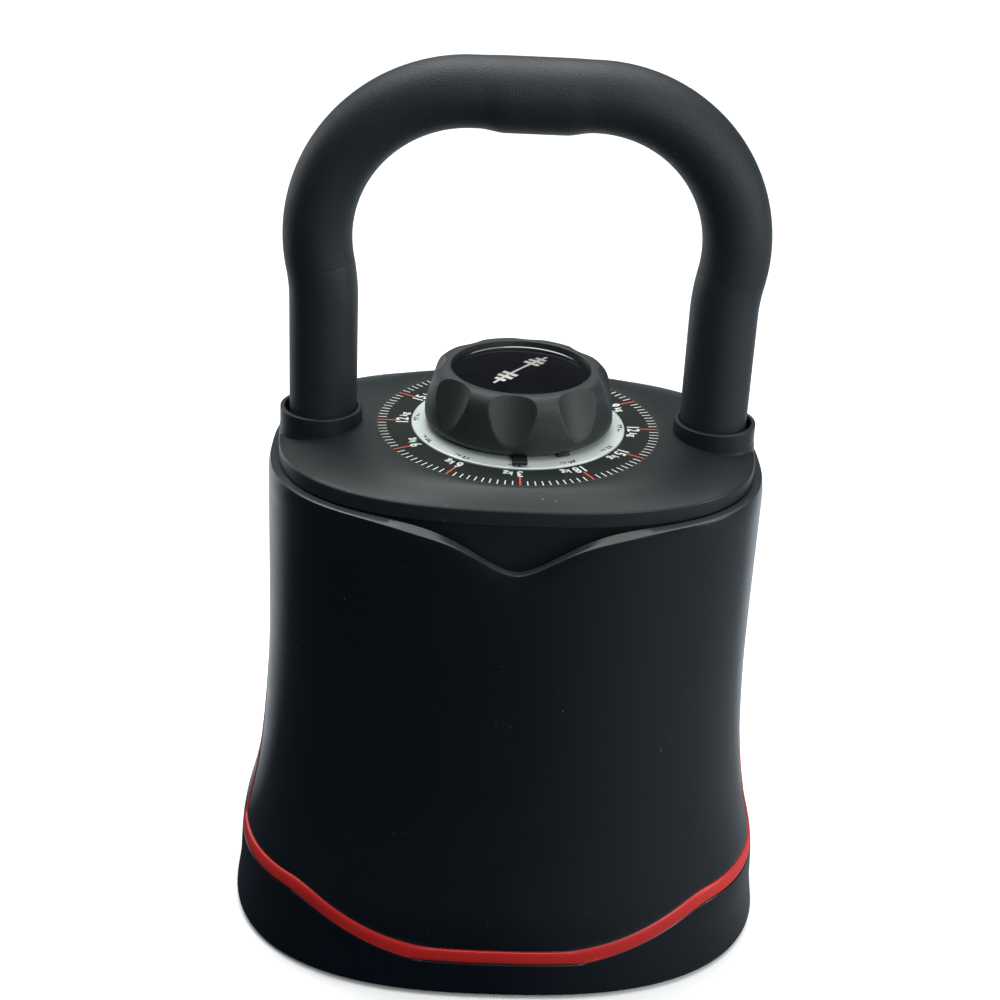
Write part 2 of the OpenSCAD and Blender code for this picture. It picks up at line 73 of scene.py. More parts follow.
def length(name, description, default, low=0.0, high=1.0):
    return bpy.props.FloatProperty(
        name=name, description=description, default=default, min=low, max=high, unit="LENGTH"
    )


def colour(name, description, default):
    return bpy.props.FloatVectorProperty(
        name=name, description=description, default=default, size=3, min=0, max=1, subtype="COLOR"
    )


def angle(name, description, default):
    return bpy.props.FloatProperty(
        name=name, description=description, default=math.radians(default), subtype="ANGLE", unit="ROTATION"
    )


class HousingLook(bpy.types.PropertyGroup):
    """Shell and cover of the part that lifts"""

    half_width: length("Half width", "Half the width of the straight upper body", 0.1163)
    half_depth: length("Half depth", "Half the depth of the straight upper body", 0.086)
    squareness: bpy.props.FloatProperty(
        name="Squareness", description="2 is an ellipse, more is squarer", default=2.55, min=2, max=4
    )
    rim: length("Rim height", "Height of the shell's flat rim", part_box("outer_shell")[1].z)
    dip: length("Dip", "Depth of the dip in the front and back rim", 0.0215)
    dip_spread: length("Dip spread", "Distance at which the dip is down to a third", 0.028)
    shell_colour: colour("Shell", "Colour of the satin shell", (0.0036, 0.0054, 0.0078))
    cover_colour: colour("Cover", "Colour of the top cover", (0.0090, 0.0130, 0.0140))


class TrayLook(bpy.types.PropertyGroup):
    """Docking tray and its coloured edge"""

    lip: length("Lip height", "Height of the tray's edge at the front and back", 0.0263)
    shoulder: length("Shoulder height", "Height of the tray's edge at the corners", 0.0475)
    wing: length("Wing height", "Height of the tray's edge at the sides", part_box("edge_band")[1].z)
    wing_half_width: length("Wing half width", "Half the width of a wing at its foot", 0.022)
    band: length("Band height", "Height of the coloured band along the edge", 0.007)
    tray_colour: colour("Tray", "Colour of the tray", (0.0028, 0.0046, 0.0080))
    band_colour: colour("Band", "Colour of the band", (0.60, 0.026, 0.022))
    rubber_colour: colour("Feet", "Colour of the rubber feet", (0.012, 0.012, 0.012))


class HandleLook(bpy.types.PropertyGroup):
    """Bent handle and its soft sleeves"""

    leg_x: length("Leg distance", "Distance of each leg from the middle", 0.0915)
    radius: length("Grip radius", "Outer radius of the soft sleeve", 0.0157)
    tube_radius: length("Tube radius", "Outer radius of the steel tube", 0.0135)
    corner: length("Corner radius", "Radius of the upper corners", 0.0675)
    tuck: length("Tuck radius", "Radius of the bend that leads the legs outward", 0.09)
    tuck_angle: angle("Tuck angle", "How far the legs lean outward", 11)
    top: length("Grip height", "Height of the grip's middle line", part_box("handle_tube")[1].z - 0.0135)
    grip_colour: colour("Grip", "Colour of the soft grip", (0.0088, 0.0130, 0.0160))
    sleeve_colour: colour("Leg sleeve", "Colour of the sleeves on the legs", (0.0115, 0.0155, 0.0195))


class DialLook(bpy.types.PropertyGroup):
    """Knob, scale and what is printed on them"""

    scale_radius: length("Scale radius", "Outer radius of the printed scale", 0.0665)
    ring_radius: length("Ring radius", "Outer radius of the pale inner ring", 0.0501)
    knob_radius: length("Knob radius", "Outer radius of the knob", 0.044)
    scallops: bpy.props.IntProperty(name="Scallops", description="Finger hollows", default=8, min=3, max=12)
    knob_turn: angle("Knob turn", "Where the first finger hollow sits", -6)
    knob_colour: colour("Knob", "Colour of the knob", (0.0175, 0.0220, 0.0225))
    scale_colour: colour("Scale", "Colour of the scale's face", (0.0080, 0.0112, 0.0100))
    ring_colour: colour("Ring", "Colour of the pale ring", (0.66, 0.74, 0.72))
    print_colour: colour("Print", "Colour of the pale print", (0.72, 0.75, 0.70))
    major_colour: colour("Marks", "Colour of the twelve long marks", (0.62, 0.075, 0.045))
    cap_colour: colour("Cap", "Colour of the glossy cap", (0.0025, 0.003, 0.005))


class WeightLook(bpy.types.PropertyGroup):
    """The five plates inside"""

    casing_colour: colour("Casing", "Colour of the plates' casing", (0.020, 0.022, 0.024))
    fill_colour: colour("Filling", "Colour of the cement filling", (0.30, 0.28, 0.25))
    edge: length("Edge", "Rounding of the casing's edges", 0.0022)


class StageLook(bpy.types.PropertyGroup):
    """Floor, lights and camera"""

    floor_colour: colour("Floor", "Colour of the floor", (0.94, 0.94, 0.94))
    azimuth: angle("Azimuth", "The camera's place round the dial, 0 looks along +Y", -2.139)
    elevation: angle("Elevation", "The camera's place above the dial", 23.80)
    distance: length("Distance", "The camera's distance from the dial", 0.891, 0.1, 5)
    yaw: angle("Yaw", "How far the camera looks past the dial sideways", 0.468)
    pitch: angle("Pitch", "How far the camera looks below the dial", 2.31)
    roll: angle("Roll", "The camera's tilt", 2.85)
    lens: bpy.props.FloatProperty(
        name="Lens", description="Focal length", default=68.1, min=20, max=200, subtype="DISTANCE_CAMERA"
    )
    softbox: bpy.props.FloatProperty(
        name="Softbox", description="Power of the overhead softbox", default=26, min=0, max=500, unit="POWER"
    )


LOOKS = {
    "housing": HousingLook,
    "tray": TrayLook,
    "handle": HandleLook,
    "dial": DialLook,
    "weights": WeightLook,
    "stage": StageLook,
}


def look(name):
    """The user's settings for one group of pieces."""
    return getattr(bpy.context.scene, "kettlebell_" + name)


# ---- Shapes ----


def smooth(t):
    """Eases from 0 to 1."""
    t = min(max(t, 0), 1)
    return t * t * (3 - 2 * t)


def outline(half_width, half_depth, turn, squareness):
    """Point of a rounded-square outline that is seen from its middle at an angle."""
    across, along = math.cos(turn), math.sin(turn)
    spread = abs(across / half_width) ** squareness + abs(along / half_depth) ** squareness
    reach = spread ** (-1 / squareness)
    return reach * across, reach * along


def body_ring(half_width, half_depth, height, squareness=None):
    """Ring of the housing's outline at one height."""
    squareness = squareness or look("housing").squareness

    def ring(turn):
        return Vector((*outline(half_width, half_depth, turn, squareness), height))

    return ring


def round_ring(radius, height):
    return lambda turn: Vector((radius * math.cos(turn), radius * math.sin(turn), height))


def flare(height):
    """Growth of the half width at a height: a smooth curve through FLARE."""
    height = min(max(height / MM, FLARE[0][0]), FLARE[-1][0])
    k = max(i for i in range(len(FLARE) - 1) if FLARE[i][0] <= height)
    slopes = []
    for i in (k, k + 1):
        before, after = FLARE[max(i - 1, 0)], FLARE[min(i + 1, len(FLARE) - 1)]
        slopes.append((after[1] - before[1]) / (after[0] - before[0]))
    run = FLARE[k + 1][0] - FLARE[k][0]
    t = (height - FLARE[k][0]) / run
    start = FLARE[k][1] * (1 + 2 * t) * (1 - t) ** 2 + slopes[0] * run * t * (1 - t) ** 2
    end = FLARE[k + 1][1] * t * t * (3 - 2 * t) + slopes[1] * run * t * t * (t - 1)
    return (start + end) * MM


def skirt_point(turn, height, inset):
    """Point on the flared outside at a height, drawn in by an inset."""
    housing = look("housing")
    growth = flare(height)
    half_width = housing.half_width + growth - inset
    half_depth = housing.half_depth + 0.87 * growth - inset
    return Vector((*outline(half_width, half_depth, turn, housing.squareness), height))


def edge_height(y):
    """Height of the tray's edge at a distance from the middle plane."""
    tray = look("tray")
    rise = min(max((0.0975 - abs(y)) / 0.027, 0), 1)
    corner = (tray.shoulder - tray.lip) * math.sin(math.pi / 2 * rise)
    wing = (tray.wing - tray.shoulder) * smooth((tray.wing_half_width - abs(y)) / tray.wing_half_width)
    return tray.lip + corner + wing


def edge_ring(inset, lift):
    """Ring that follows the tray's edge, drawn in by an inset and raised by a lift."""

    def ring(turn):
        height = look("tray").lip
        for _ in range(8):
            place = skirt_point(turn, height, inset)
            height = edge_height(place.y) + lift
        return skirt_point(turn, height, inset)

    return ring


def rim_height(x):
    """Height of the shell's rim at a distance from the middle."""
    housing = look("housing")
    return housing.rim - housing.dip * math.exp(-((abs(x) / housing.dip_spread) ** 1.75))


def rim_ring(inset, drop, slope=0.0):
    """Ring along the shell's rim; the shoulders beside each dip slope outward."""
    housing = look("housing")

    def ring(turn):
        x, y = outline(housing.half_width - inset, housing.half_depth - inset, turn, housing.squareness)
        shoulder = math.exp(-(((abs(x) - 0.044) / 0.019) ** 2))
        return Vector((x, y, rim_height(x) - drop - slope * shoulder))

    return ring


def between(low, high, count):
    """Rings between two others, each on the flared outside of the shell."""

    def ring_at(part):
        def ring(turn):
            height = low(turn).z * (1 - part) + high(turn).z * part
            return skirt_point(turn, height, SKIRT_INSET)

        return ring

    return [ring_at(k / (count + 1)) for k in range(1, count + 1)]


def skin(rings, segments=480, closed=True):
    """Skins a stack of rings and closes it on itself, or with a flat face at each end."""
    shape = bmesh.new()
    turn = shape.verts.layers.float.new("turn")
    for corner in bmesh.ops.create_circle(shape, segments=segments, radius=1.0)["verts"]:
        corner[turn] = math.atan2(corner.co.y, corner.co.x)
        corner.co = rings[0](corner[turn])
    first = shape.edges[:]
    last = first
    for ring in rings[1:]:
        made = bmesh.ops.extrude_edge_only(shape, edges=last)["geom"]
        last = [part for part in made if isinstance(part, bmesh.types.BMEdge)]
        for part in made:
            if isinstance(part, bmesh.types.BMVert):
                part.co = ring(part[turn])
    if closed:
        bmesh.ops.bridge_loops(shape, edges=first + last)
    else:
        bmesh.ops.edgeloop_fill(shape, edges=first)
        bmesh.ops.edgeloop_fill(shape, edges=last)
    return shape


def soften(profile, steps=4):
    """Rounds the corners of a profile of (radius, height, rounding) points."""
    points = []
    for k, (radius, height, rounding) in enumerate(profile):
        corner = Vector((radius, height))
        if rounding == 0 or k in (0, len(profile) - 1):
            points.append(corner)
            continue
        ends = []
        for other in (profile[k - 1], profile[k + 1]):
            way = Vector(other[:2]) - corner
            ends.append(corner + way.normalized() * min(rounding, way.length / 2))
        for s in range(steps + 1):
            t = s / steps
            points.append(ends[0] * (1 - t) ** 2 + corner * 2 * t * (1 - t) + ends[1] * t * t)
    return points


def turned(profile, steps=128, middle=(0, 0)):
    """Spins a profile about a vertical axis; a profile that ends on the axis is closed there."""
    shape = bmesh.new()
    corners = [shape.verts.new((point.x, 0, point.y)) for point in profile]
    edges = [shape.edges.new(pair) for pair in zip(corners, corners[1:])]
    bmesh.ops.spin(
        shape, geom=corners + edges, axis=UP, cent=(0, 0, 0), steps=steps, angle=2 * math.pi, use_merge=True
    )
    bmesh.ops.remove_doubles(shape, verts=shape.verts[:], dist=1e-7)
    bmesh.ops.translate(shape, verts=shape.verts[:], vec=(*middle, 0))
    return shape


def block(low, high, rounding):
    """Box between two corners with rounded edges."""
    shape = bmesh.new()
    low, high = Vector(low), Vector(high)
    place = Matrix.Translation((low + high) / 2) @ Matrix.Diagonal((*(high - low), 1))
    bmesh.ops.create_cube(shape, size=1, matrix=place)
    bmesh.ops.bevel(
        shape, geom=shape.edges[:], offset=rounding, segments=3, profile=0.5, affect="EDGES", material=-1
    )
    return shape


def joined(shapes):
    """One shape that holds several."""
    whole = bmesh.new()
    for shape in shapes:
        mesh = bpy.data.meshes.new("part")
        shape.to_mesh(mesh)
        shape.free()
        whole.from_mesh(mesh)
        bpy.data.meshes.remove(mesh)
    return whole


def settled(shape, name):
    """Object made of a shape whose faces all point outward."""
    bmesh.ops.recalc_face_normals(shape, faces=shape.faces[:])
    mesh = bpy.data.meshes.new(name)
    shape.to_mesh(mesh)
    shape.free()
    made = bpy.data.objects.new(name, mesh)
    bpy.context.scene.collection.objects.link(made)
    return made


def carved(body, tool, operation):
    """Joins a tool shape to a body, or cuts it away, and returns the new shape."""
    target, cutter = settled(body, "target"), settled(tool, "cutter")
    change = target.modifiers.new("Carve", "BOOLEAN")
    change.object = cutter
    change.operation = operation
    change.solver = "EXACT"
    evaluated = target.evaluated_get(bpy.context.evaluated_depsgraph_get())
    mesh = bpy.data.meshes.new_from_object(evaluated)
    shape = bmesh.new()
    shape.from_mesh(mesh)
    for spare in (target, cutter):
        old = spare.data
        bpy.data.objects.remove(spare)
        bpy.data.meshes.remove(old)
    bpy.data.meshes.remove(mesh)
    return shape


def piece(name, shape, finish, body, nodes=(), crease=32):
    """Finished piece that rides on a body and stands for CAD nodes."""
    made = settled(shape, name)
    made.data.shade_smooth()
    made.data.set_sharp_from_angle(angle=math.radians(crease))
    made.data.materials.append(finish)
    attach(made, body)
    if nodes:
        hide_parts(*nodes)
    return made


# ---- Finishes ----


def add_node(tree, kind, settings=None, **inputs):
    """Adds a node; an input is a value or the socket that feeds it."""
    node = tree.nodes.new(kind)
    for key, value in (settings or {}).items():
        setattr(node, key, value)
    for key, value in inputs.items():
        feed(tree, node.inputs[key.replace("_", " ")], value)
    return node


def feed(tree, socket, value):
    if isinstance(value, bpy.types.NodeSocket):
        tree.links.new(value, socket)
    else:
        socket.default_value = value


def maths(tree, operation, *values):
    node = tree.nodes.new("ShaderNodeMath")
    node.operation = operation
    for socket, value in zip(node.inputs, values):
        feed(tree, socket, value)
    return node.outputs[0]


def spread(tree, value, low, high, to_low=0.0, to_high=1.0):
    """Maps a value from one span to another."""
    node = add_node(
        tree, "ShaderNodeMapRange", Value=value, From_Min=low, From_Max=high, To_Min=to_low, To_Max=to_high
    )
    return node.outputs[0]


def blend_colour(tree, part, first, second):
    node = tree.nodes.new("ShaderNodeMix")
    node.data_type = "RGBA"
    feed(tree, node.inputs[0], part)
    for socket, value in ((node.inputs[6], first), (node.inputs[7], second)):
        feed(tree, socket, value if isinstance(value, bpy.types.NodeSocket) else (*value, 1))
    return node.outputs[2]


def effect(name, inputs, outputs):
    """Empty node group with named inputs, outputs and its two end nodes."""
    group = bpy.data.node_groups.new(name, "ShaderNodeTree")
    for label, default in inputs.items():
        socket = group.interface.new_socket(label, in_out="INPUT", socket_type="NodeSocketFloat")
        socket.default_value = default
    for label in outputs:
        group.interface.new_socket(label, in_out="OUTPUT", socket_type="NodeSocketFloat")
    return group, group.nodes.new("NodeGroupInput"), group.nodes.new("NodeGroupOutput")


def placed_coordinates(tree):
    return tree.nodes.new("ShaderNodeTexCoord").outputs["Object"]


def grain_effect():
    """Fine moulded grain: small pits between soft bumps."""
    group, given, result = effect("Fine Grain", {"Scale": 1600.0, "Pits": 0.5}, ["Height", "Shade"])
    place = placed_coordinates(group)
    bumps = add_node(
        group, "ShaderNodeTexNoise", Vector=place, Scale=given.outputs["Scale"], Detail=3.0, Roughness=0.6
    )
    pits = add_node(group, "ShaderNodeTexVoronoi", Vector=place, Scale=given.outputs["Scale"])
    depth = maths(group, "MULTIPLY", pits.outputs["Distance"], given.outputs["Pits"])
    group.links.new(maths(group, "ADD", bumps.outputs[0], depth), result.inputs["Height"])
    group.links.new(spread(group, bumps.outputs[0], 0.3, 0.7), result.inputs["Shade"])
    return group


def smudge_effect():
    """Broad patches left by handling, which dull or polish a surface."""
    group, given, result = effect("Smudges", {"Scale": 18.0}, ["Patch"])
    wide = add_node(
        group, "ShaderNodeTexNoise", Vector=placed_coordinates(group), Scale=given.outputs["Scale"],
        Detail=5.0, Roughness=0.65, Distortion=0.8,
    )
    group.links.new(spread(group, wide.outputs[0], 0.35, 0.68), result.inputs["Patch"])
    return group


def dust_effect():
    """Sparse pale specks that have settled on a surface."""
    group, given, result = effect("Dust", {"Scale": 260.0, "Amount": 0.5}, ["Speck"])
    place = placed_coordinates(group)
    cells = add_node(group, "ShaderNodeTexVoronoi", Vector=place, Scale=given.outputs["Scale"])
    near = spread(group, cells.outputs["Distance"], 0.05, 0.12, 1.0, 0.0)
    few = add_node(group, "ShaderNodeTexNoise", Vector=place, Scale=75.0, Detail=2.0)
    kept = spread(group, few.outputs[0], 0.62, 0.72)
    both = maths(group, "MULTIPLY", near, kept)
    group.links.new(maths(group, "MULTIPLY", both, given.outputs["Amount"]), result.inputs["Speck"])
    return group


def wear_effect():
    """Rubbed edges with a painted edge highlight: a mask where the surface turns sharply, broken up by
    noise.
    """
    group, given, result = effect("Edge Rub And Glint", {"Sharpness": 0.55, "Amount": 0.5}, ["Mask"])
    turn = group.nodes.new("ShaderNodeNewGeometry").outputs["Pointiness"]
    top = maths(group, "ADD", given.outputs["Sharpness"], 0.06)
    edge = spread(group, turn, given.outputs["Sharpness"], top)
    patches = add_node(group, "ShaderNodeTexNoise", Vector=placed_coordinates(group), Scale=90.0, Detail=4.0)
    broken = maths(group, "MULTIPLY", edge, spread(group, patches.outputs[0], 0.3, 0.6, 0.4, 1.0))
    group.links.new(maths(group, "MULTIPLY", broken, given.outputs["Amount"]), result.inputs["Mask"])
    return group


def film_effect():
    """Painted top light: paler colour on faces that look up, standing in for light from above, broken into
    patches by noise.
    """
    group, given, result = effect("Settled Film", {"Amount": 0.3}, ["Film"])
    facing = group.nodes.new("ShaderNodeNewGeometry").outputs["Normal"]
    level = add_node(group, "ShaderNodeSeparateXYZ", Vector=facing).outputs[2]
    patchy = add_node(group, "ShaderNodeTexNoise", Vector=placed_coordinates(group), Scale=45.0, Detail=4.0)
    patches = spread(group, patchy.outputs[0], 0.3, 0.65, 0.65, 1.0)
    lying = maths(group, "MULTIPLY", spread(group, level, 0.3, 0.9), patches)
    group.links.new(maths(group, "MULTIPLY", lying, given.outputs["Amount"]), result.inputs["Film"])
    return group


def tool_mark_effect():
    """Fine rings that a lathe leaves, or straight brushing, chosen by Straight."""
    group, given, result = effect("Tool Marks", {"Scale": 900.0, "Straight": 0.0}, ["Height", "Shade"])
    parts = add_node(group, "ShaderNodeSeparateXYZ", Vector=placed_coordinates(group)).outputs
    square = maths(
        group, "ADD",
        maths(group, "MULTIPLY", parts[0], parts[0]),
        maths(group, "MULTIPLY", parts[1], parts[1]),
    )
    radius = maths(group, "SQRT", square)
    rings = maths(group, "ADD", radius, parts[2])
    lines = maths(group, "ADD", maths(group, "MULTIPLY", parts[0], 0.06), parts[1])
    straight = given.outputs["Straight"]
    chosen = maths(
        group, "ADD", maths(group, "MULTIPLY", rings, maths(group, "SUBTRACT", 1.0, straight)),
        maths(group, "MULTIPLY", lines, straight),
    )
    marks = add_node(
        group, "ShaderNodeTexNoise", {"noise_dimensions": "1D"}, W=chosen, Scale=given.outputs["Scale"],
        Detail=4.0, Roughness=0.7,
    )
    group.links.new(marks.outputs[0], result.inputs["Height"])
    group.links.new(spread(group, marks.outputs[0], 0.3, 0.7), result.inputs["Shade"])
    return group


EFFECTS = {
    "Fine Grain": grain_effect,
    "Smudges": smudge_effect,
    "Dust": dust_effect,
    "Edge Rub And Glint": wear_effect,
    "Settled Film": film_effect,
    "Tool Marks": tool_mark_effect,
}


def use_effect(tree, name, **inputs):
    """Places an effect in a material, building it the first time."""
    group = bpy.data.node_groups.get(name) or EFFECTS[name]()
    return add_node(tree, "ShaderNodeGroup", {"node_tree": group}, **inputs).outputs


def new_finish(name):
    material = bpy.data.materials.new(name)
    material.use_nodes = True
    return material, material.node_tree, material.node_tree.nodes["Principled BSDF"]


def moulded(name, base, tint, roughness, specular, grain=1600.0, depth=0.05, pits=0.5, dust=0.0, edge_rub_and_glint=0.0,
            polish_and_glint=0.01, top_light_amount=0.0):
    """Moulded plastic, foam or rubber: grain, smudges, dust specks, rubbed edges lightened partly by a
    painted edge highlight, and a painted top light on faces that look up.
    """
    if name in bpy.data.materials:
        return bpy.data.materials[name]
    material, tree, shader = new_finish(name)
    surface = use_effect(tree, "Fine Grain", Scale=grain, Pits=pits)
    patch = use_effect(tree, "Smudges", Scale=17.0)["Patch"]
    shade = blend_colour(tree, maths(tree, "MULTIPLY", surface["Shade"], 0.5), base, tint)
    shade = blend_colour(tree, maths(tree, "MULTIPLY", patch, 0.35), shade, tint)
    # Sharp edges lighten towards a paler colour: partly rubbed wear, partly a painted highlight for light
    # catching the edges.
    edge_rub_glint = use_effect(tree, "Edge Rub And Glint", Sharpness=0.53, Amount=edge_rub_and_glint)["Mask"]
    rub_glint_colour = tuple(min(1.0, 2.2 * part + polish_and_glint) for part in base)
    shade = blend_colour(tree, edge_rub_glint, shade, rub_glint_colour)
    # Painted top light: faces that look up are blended towards a pale grey, standing in for light from
    # above.
    if top_light_amount:
        top_light_mask = use_effect(tree, "Settled Film", Amount=top_light_amount)["Film"]
        shade = blend_colour(tree, top_light_mask, shade, (0.11, 0.12, 0.12))
    speck = use_effect(tree, "Dust", Scale=260.0, Amount=dust)["Speck"]
    feed(tree, shader.inputs["Base Color"], blend_colour(tree, speck, shade, (0.42, 0.44, 0.45)))
    rough = spread(tree, patch, 0.0, 1.0, roughness - 0.035, roughness + 0.05)
    feed(tree, shader.inputs["Roughness"], rough)
    shader.inputs["Specular IOR Level"].default_value = specular
    bump = add_node(tree, "ShaderNodeBump", Height=surface["Height"], Strength=depth, Distance=0.0004)
    feed(tree, shader.inputs["Normal"], bump.outputs[0])
    return material


def machined(name, base, roughness, marks=900.0, straight=0.0, depth=0.06, metallic=1.0):
    """Bare or plated metal with turning or brushing marks and a little staining."""
    if name in bpy.data.materials:
        return bpy.data.materials[name]
    material, tree, shader = new_finish(name)
    surface = use_effect(tree, "Tool Marks", Scale=marks, Straight=straight)
    patch = use_effect(tree, "Smudges", Scale=60.0)["Patch"]
    dark = tuple(0.72 * part for part in base)
    shade = blend_colour(tree, maths(tree, "MULTIPLY", patch, 0.4), base, dark)
    shade = blend_colour(tree, maths(tree, "MULTIPLY", surface["Shade"], 0.25), shade, dark)
    feed(tree, shader.inputs["Base Color"], shade)
    feed(tree, shader.inputs["Roughness"], spread(tree, patch, 0.0, 1.0, roughness - 0.06, roughness + 0.08))
    shader.inputs["Metallic"].default_value = metallic
    bump = add_node(tree, "ShaderNodeBump", Height=surface["Height"], Strength=depth, Distance=0.0003)
    feed(tree, shader.inputs["Normal"], bump.outputs[0])
    return material


def cement(name, base):
    """Cast cement with sand, pores and damp patches."""
    material, tree, shader = new_finish(name)
    surface = use_effect(tree, "Fine Grain", Scale=900.0, Pits=1.2)
    patch = use_effect(tree, "Smudges", Scale=40.0)["Patch"]
    dark = tuple(0.5 * part for part in base)
    shade = blend_colour(tree, maths(tree, "MULTIPLY", surface["Shade"], 0.6), base, dark)
    mottled = blend_colour(tree, maths(tree, "MULTIPLY", patch, 0.5), shade, dark)
    feed(tree, shader.inputs["Base Color"], mottled)
    feed(tree, shader.inputs["Roughness"], spread(tree, patch, 0.0, 1.0, 0.82, 0.95))
    bump = add_node(tree, "ShaderNodeBump", Height=surface["Height"], Strength=0.5, Distance=0.0008)
    feed(tree, shader.inputs["Normal"], bump.outputs[0])
    return material


def gloss(name, base):
    """Polished cap under clear lacquer, with faint ripples and hairline wipes."""
    material, tree, shader = new_finish(name)
    patch = use_effect(tree, "Smudges", Scale=45.0)["Patch"]
    lighter = tuple(2.5 * part for part in base)
    patchy = blend_colour(tree, maths(tree, "MULTIPLY", patch, 0.5), base, lighter)
    feed(tree, shader.inputs["Base Color"], patchy)
    feed(tree, shader.inputs["Roughness"], spread(tree, patch, 0.0, 1.0, 0.03, 0.09))
    shader.inputs["Coat Weight"].default_value = 0.6
    shader.inputs["Coat Roughness"].default_value = 0.02
    ripple = add_node(tree, "ShaderNodeTexNoise", Vector=placed_coordinates(tree), Scale=55.0, Detail=1.0)
    bump = add_node(tree, "ShaderNodeBump", Height=ripple.outputs[0], Strength=0.12, Distance=0.002)
    feed(tree, shader.inputs["Normal"], bump.outputs[0])
    return material


def scuffed(base, part):
    return tuple(min(1.0, part * value) for value in base)


def cover_finish():
    base = tuple(look("housing").cover_colour)
    return moulded("Cover Plastic", base, scuffed(base, 1.3), 0.42, 0.34, 2200.0, 0.10, dust=0.35, edge_rub_and_glint=0.5)


def shell_finish():
    base = tuple(look("housing").shell_colour)
    # The shell gets a painted highlight on its sharp edges and a painted top light on faces that look up.
    return moulded("Shell Plastic", base, scuffed(base, 1.5), 0.29, 0.42, 1500.0, 0.035, dust=0.35,
                    edge_rub_and_glint=0.9, polish_and_glint=0.06, top_light_amount=0.3)


def tray_finish():
    base = tuple(look("tray").tray_colour)
    return moulded("Tray Plastic", base, scuffed(base, 1.5), 0.30, 0.36, 1500.0, 0.035, dust=0.25, edge_rub_and_glint=0.5)


def band_finish():
    base = tuple(look("tray").band_colour)
    return moulded("Band Plastic", base, scuffed(base, 0.8), 0.36, 0.4, 1500.0, 0.04, dust=0.1, edge_rub_and_glint=0.35)


def grip_finish():
    base = tuple(look("handle").grip_colour)
    return moulded("Grip Foam", base, scuffed(base, 1.7), 0.54, 0.38, 1700.0, 0.34, 1.0, dust=0.25)


def sleeve_finish():
    base = tuple(look("handle").sleeve_colour)
    return moulded("Sleeve Foam", base, scuffed(base, 1.6), 0.52, 0.4, 2100.0, 0.16, 0.8, dust=0.2)


def knob_finish():
    base = tuple(look("dial").knob_colour)
    return moulded(
        "Knob Plastic", base, scuffed(base, 1.5), 0.46, 0.42, 2000.0, 0.30, 0.8, dust=0.1, edge_rub_and_glint=0.6
    )


def rubber_finish():
    base = tuple(look("tray").rubber_colour)
    return moulded("Foot Rubber", base, scuffed(base, 1.8), 0.8, 0.3, 1200.0, 0.2, 0.8, dust=0.4)


def casing_finish():
    base = tuple(look("weights").casing_colour)
    return moulded("Plate Casing", base, scuffed(base, 1.7), 0.5, 0.4, 1300.0, 0.14, 0.7, dust=0.3, edge_rub_and_glint=0.8)


def face_finish():
    base = tuple(look("dial").scale_colour)
    return moulded("Scale Face", base, scuffed(base, 2.2), 0.6, 0.12, 2600.0, 0.12, 0.6, dust=0.2)


def ink(name, base):
    return moulded(name, base, scuffed(base, 0.82), 0.5, 0.3, 2600.0, 0.06, 0.4)


def nylon_finish():
    return moulded(
        "Nylon", (0.035, 0.037, 0.04), (0.06, 0.062, 0.066), 0.5, 0.4, 1500.0, 0.08, 0.5, edge_rub_and_glint=0.4
    )


def silver_finish():
    base = tuple(look("dial").ring_colour)
    return machined("Satin Ring", base, 0.42, 1500.0, 0.0, 0.03, 0.35)


def steel_finish():
    return machined("Turned Steel", (0.52, 0.53, 0.54), 0.3, 1100.0)


def plate_steel_finish():
    return machined("Pressed Steel", (0.45, 0.46, 0.47), 0.38, 700.0, 1.0, 0.08)


def zinc_finish():
    return machined("Zinc Plating", (0.62, 0.64, 0.66), 0.27, 1500.0, 0.0, 0.04)


def bronze_finish():
    return machined("Sintered Bronze", (0.55, 0.36, 0.16), 0.42, 600.0, 0.0, 0.1)


def tube_finish():
    return machined("Drawn Tube", (0.42, 0.43, 0.45), 0.35, 500.0, 1.0, 0.05)


# ---- Operators ----


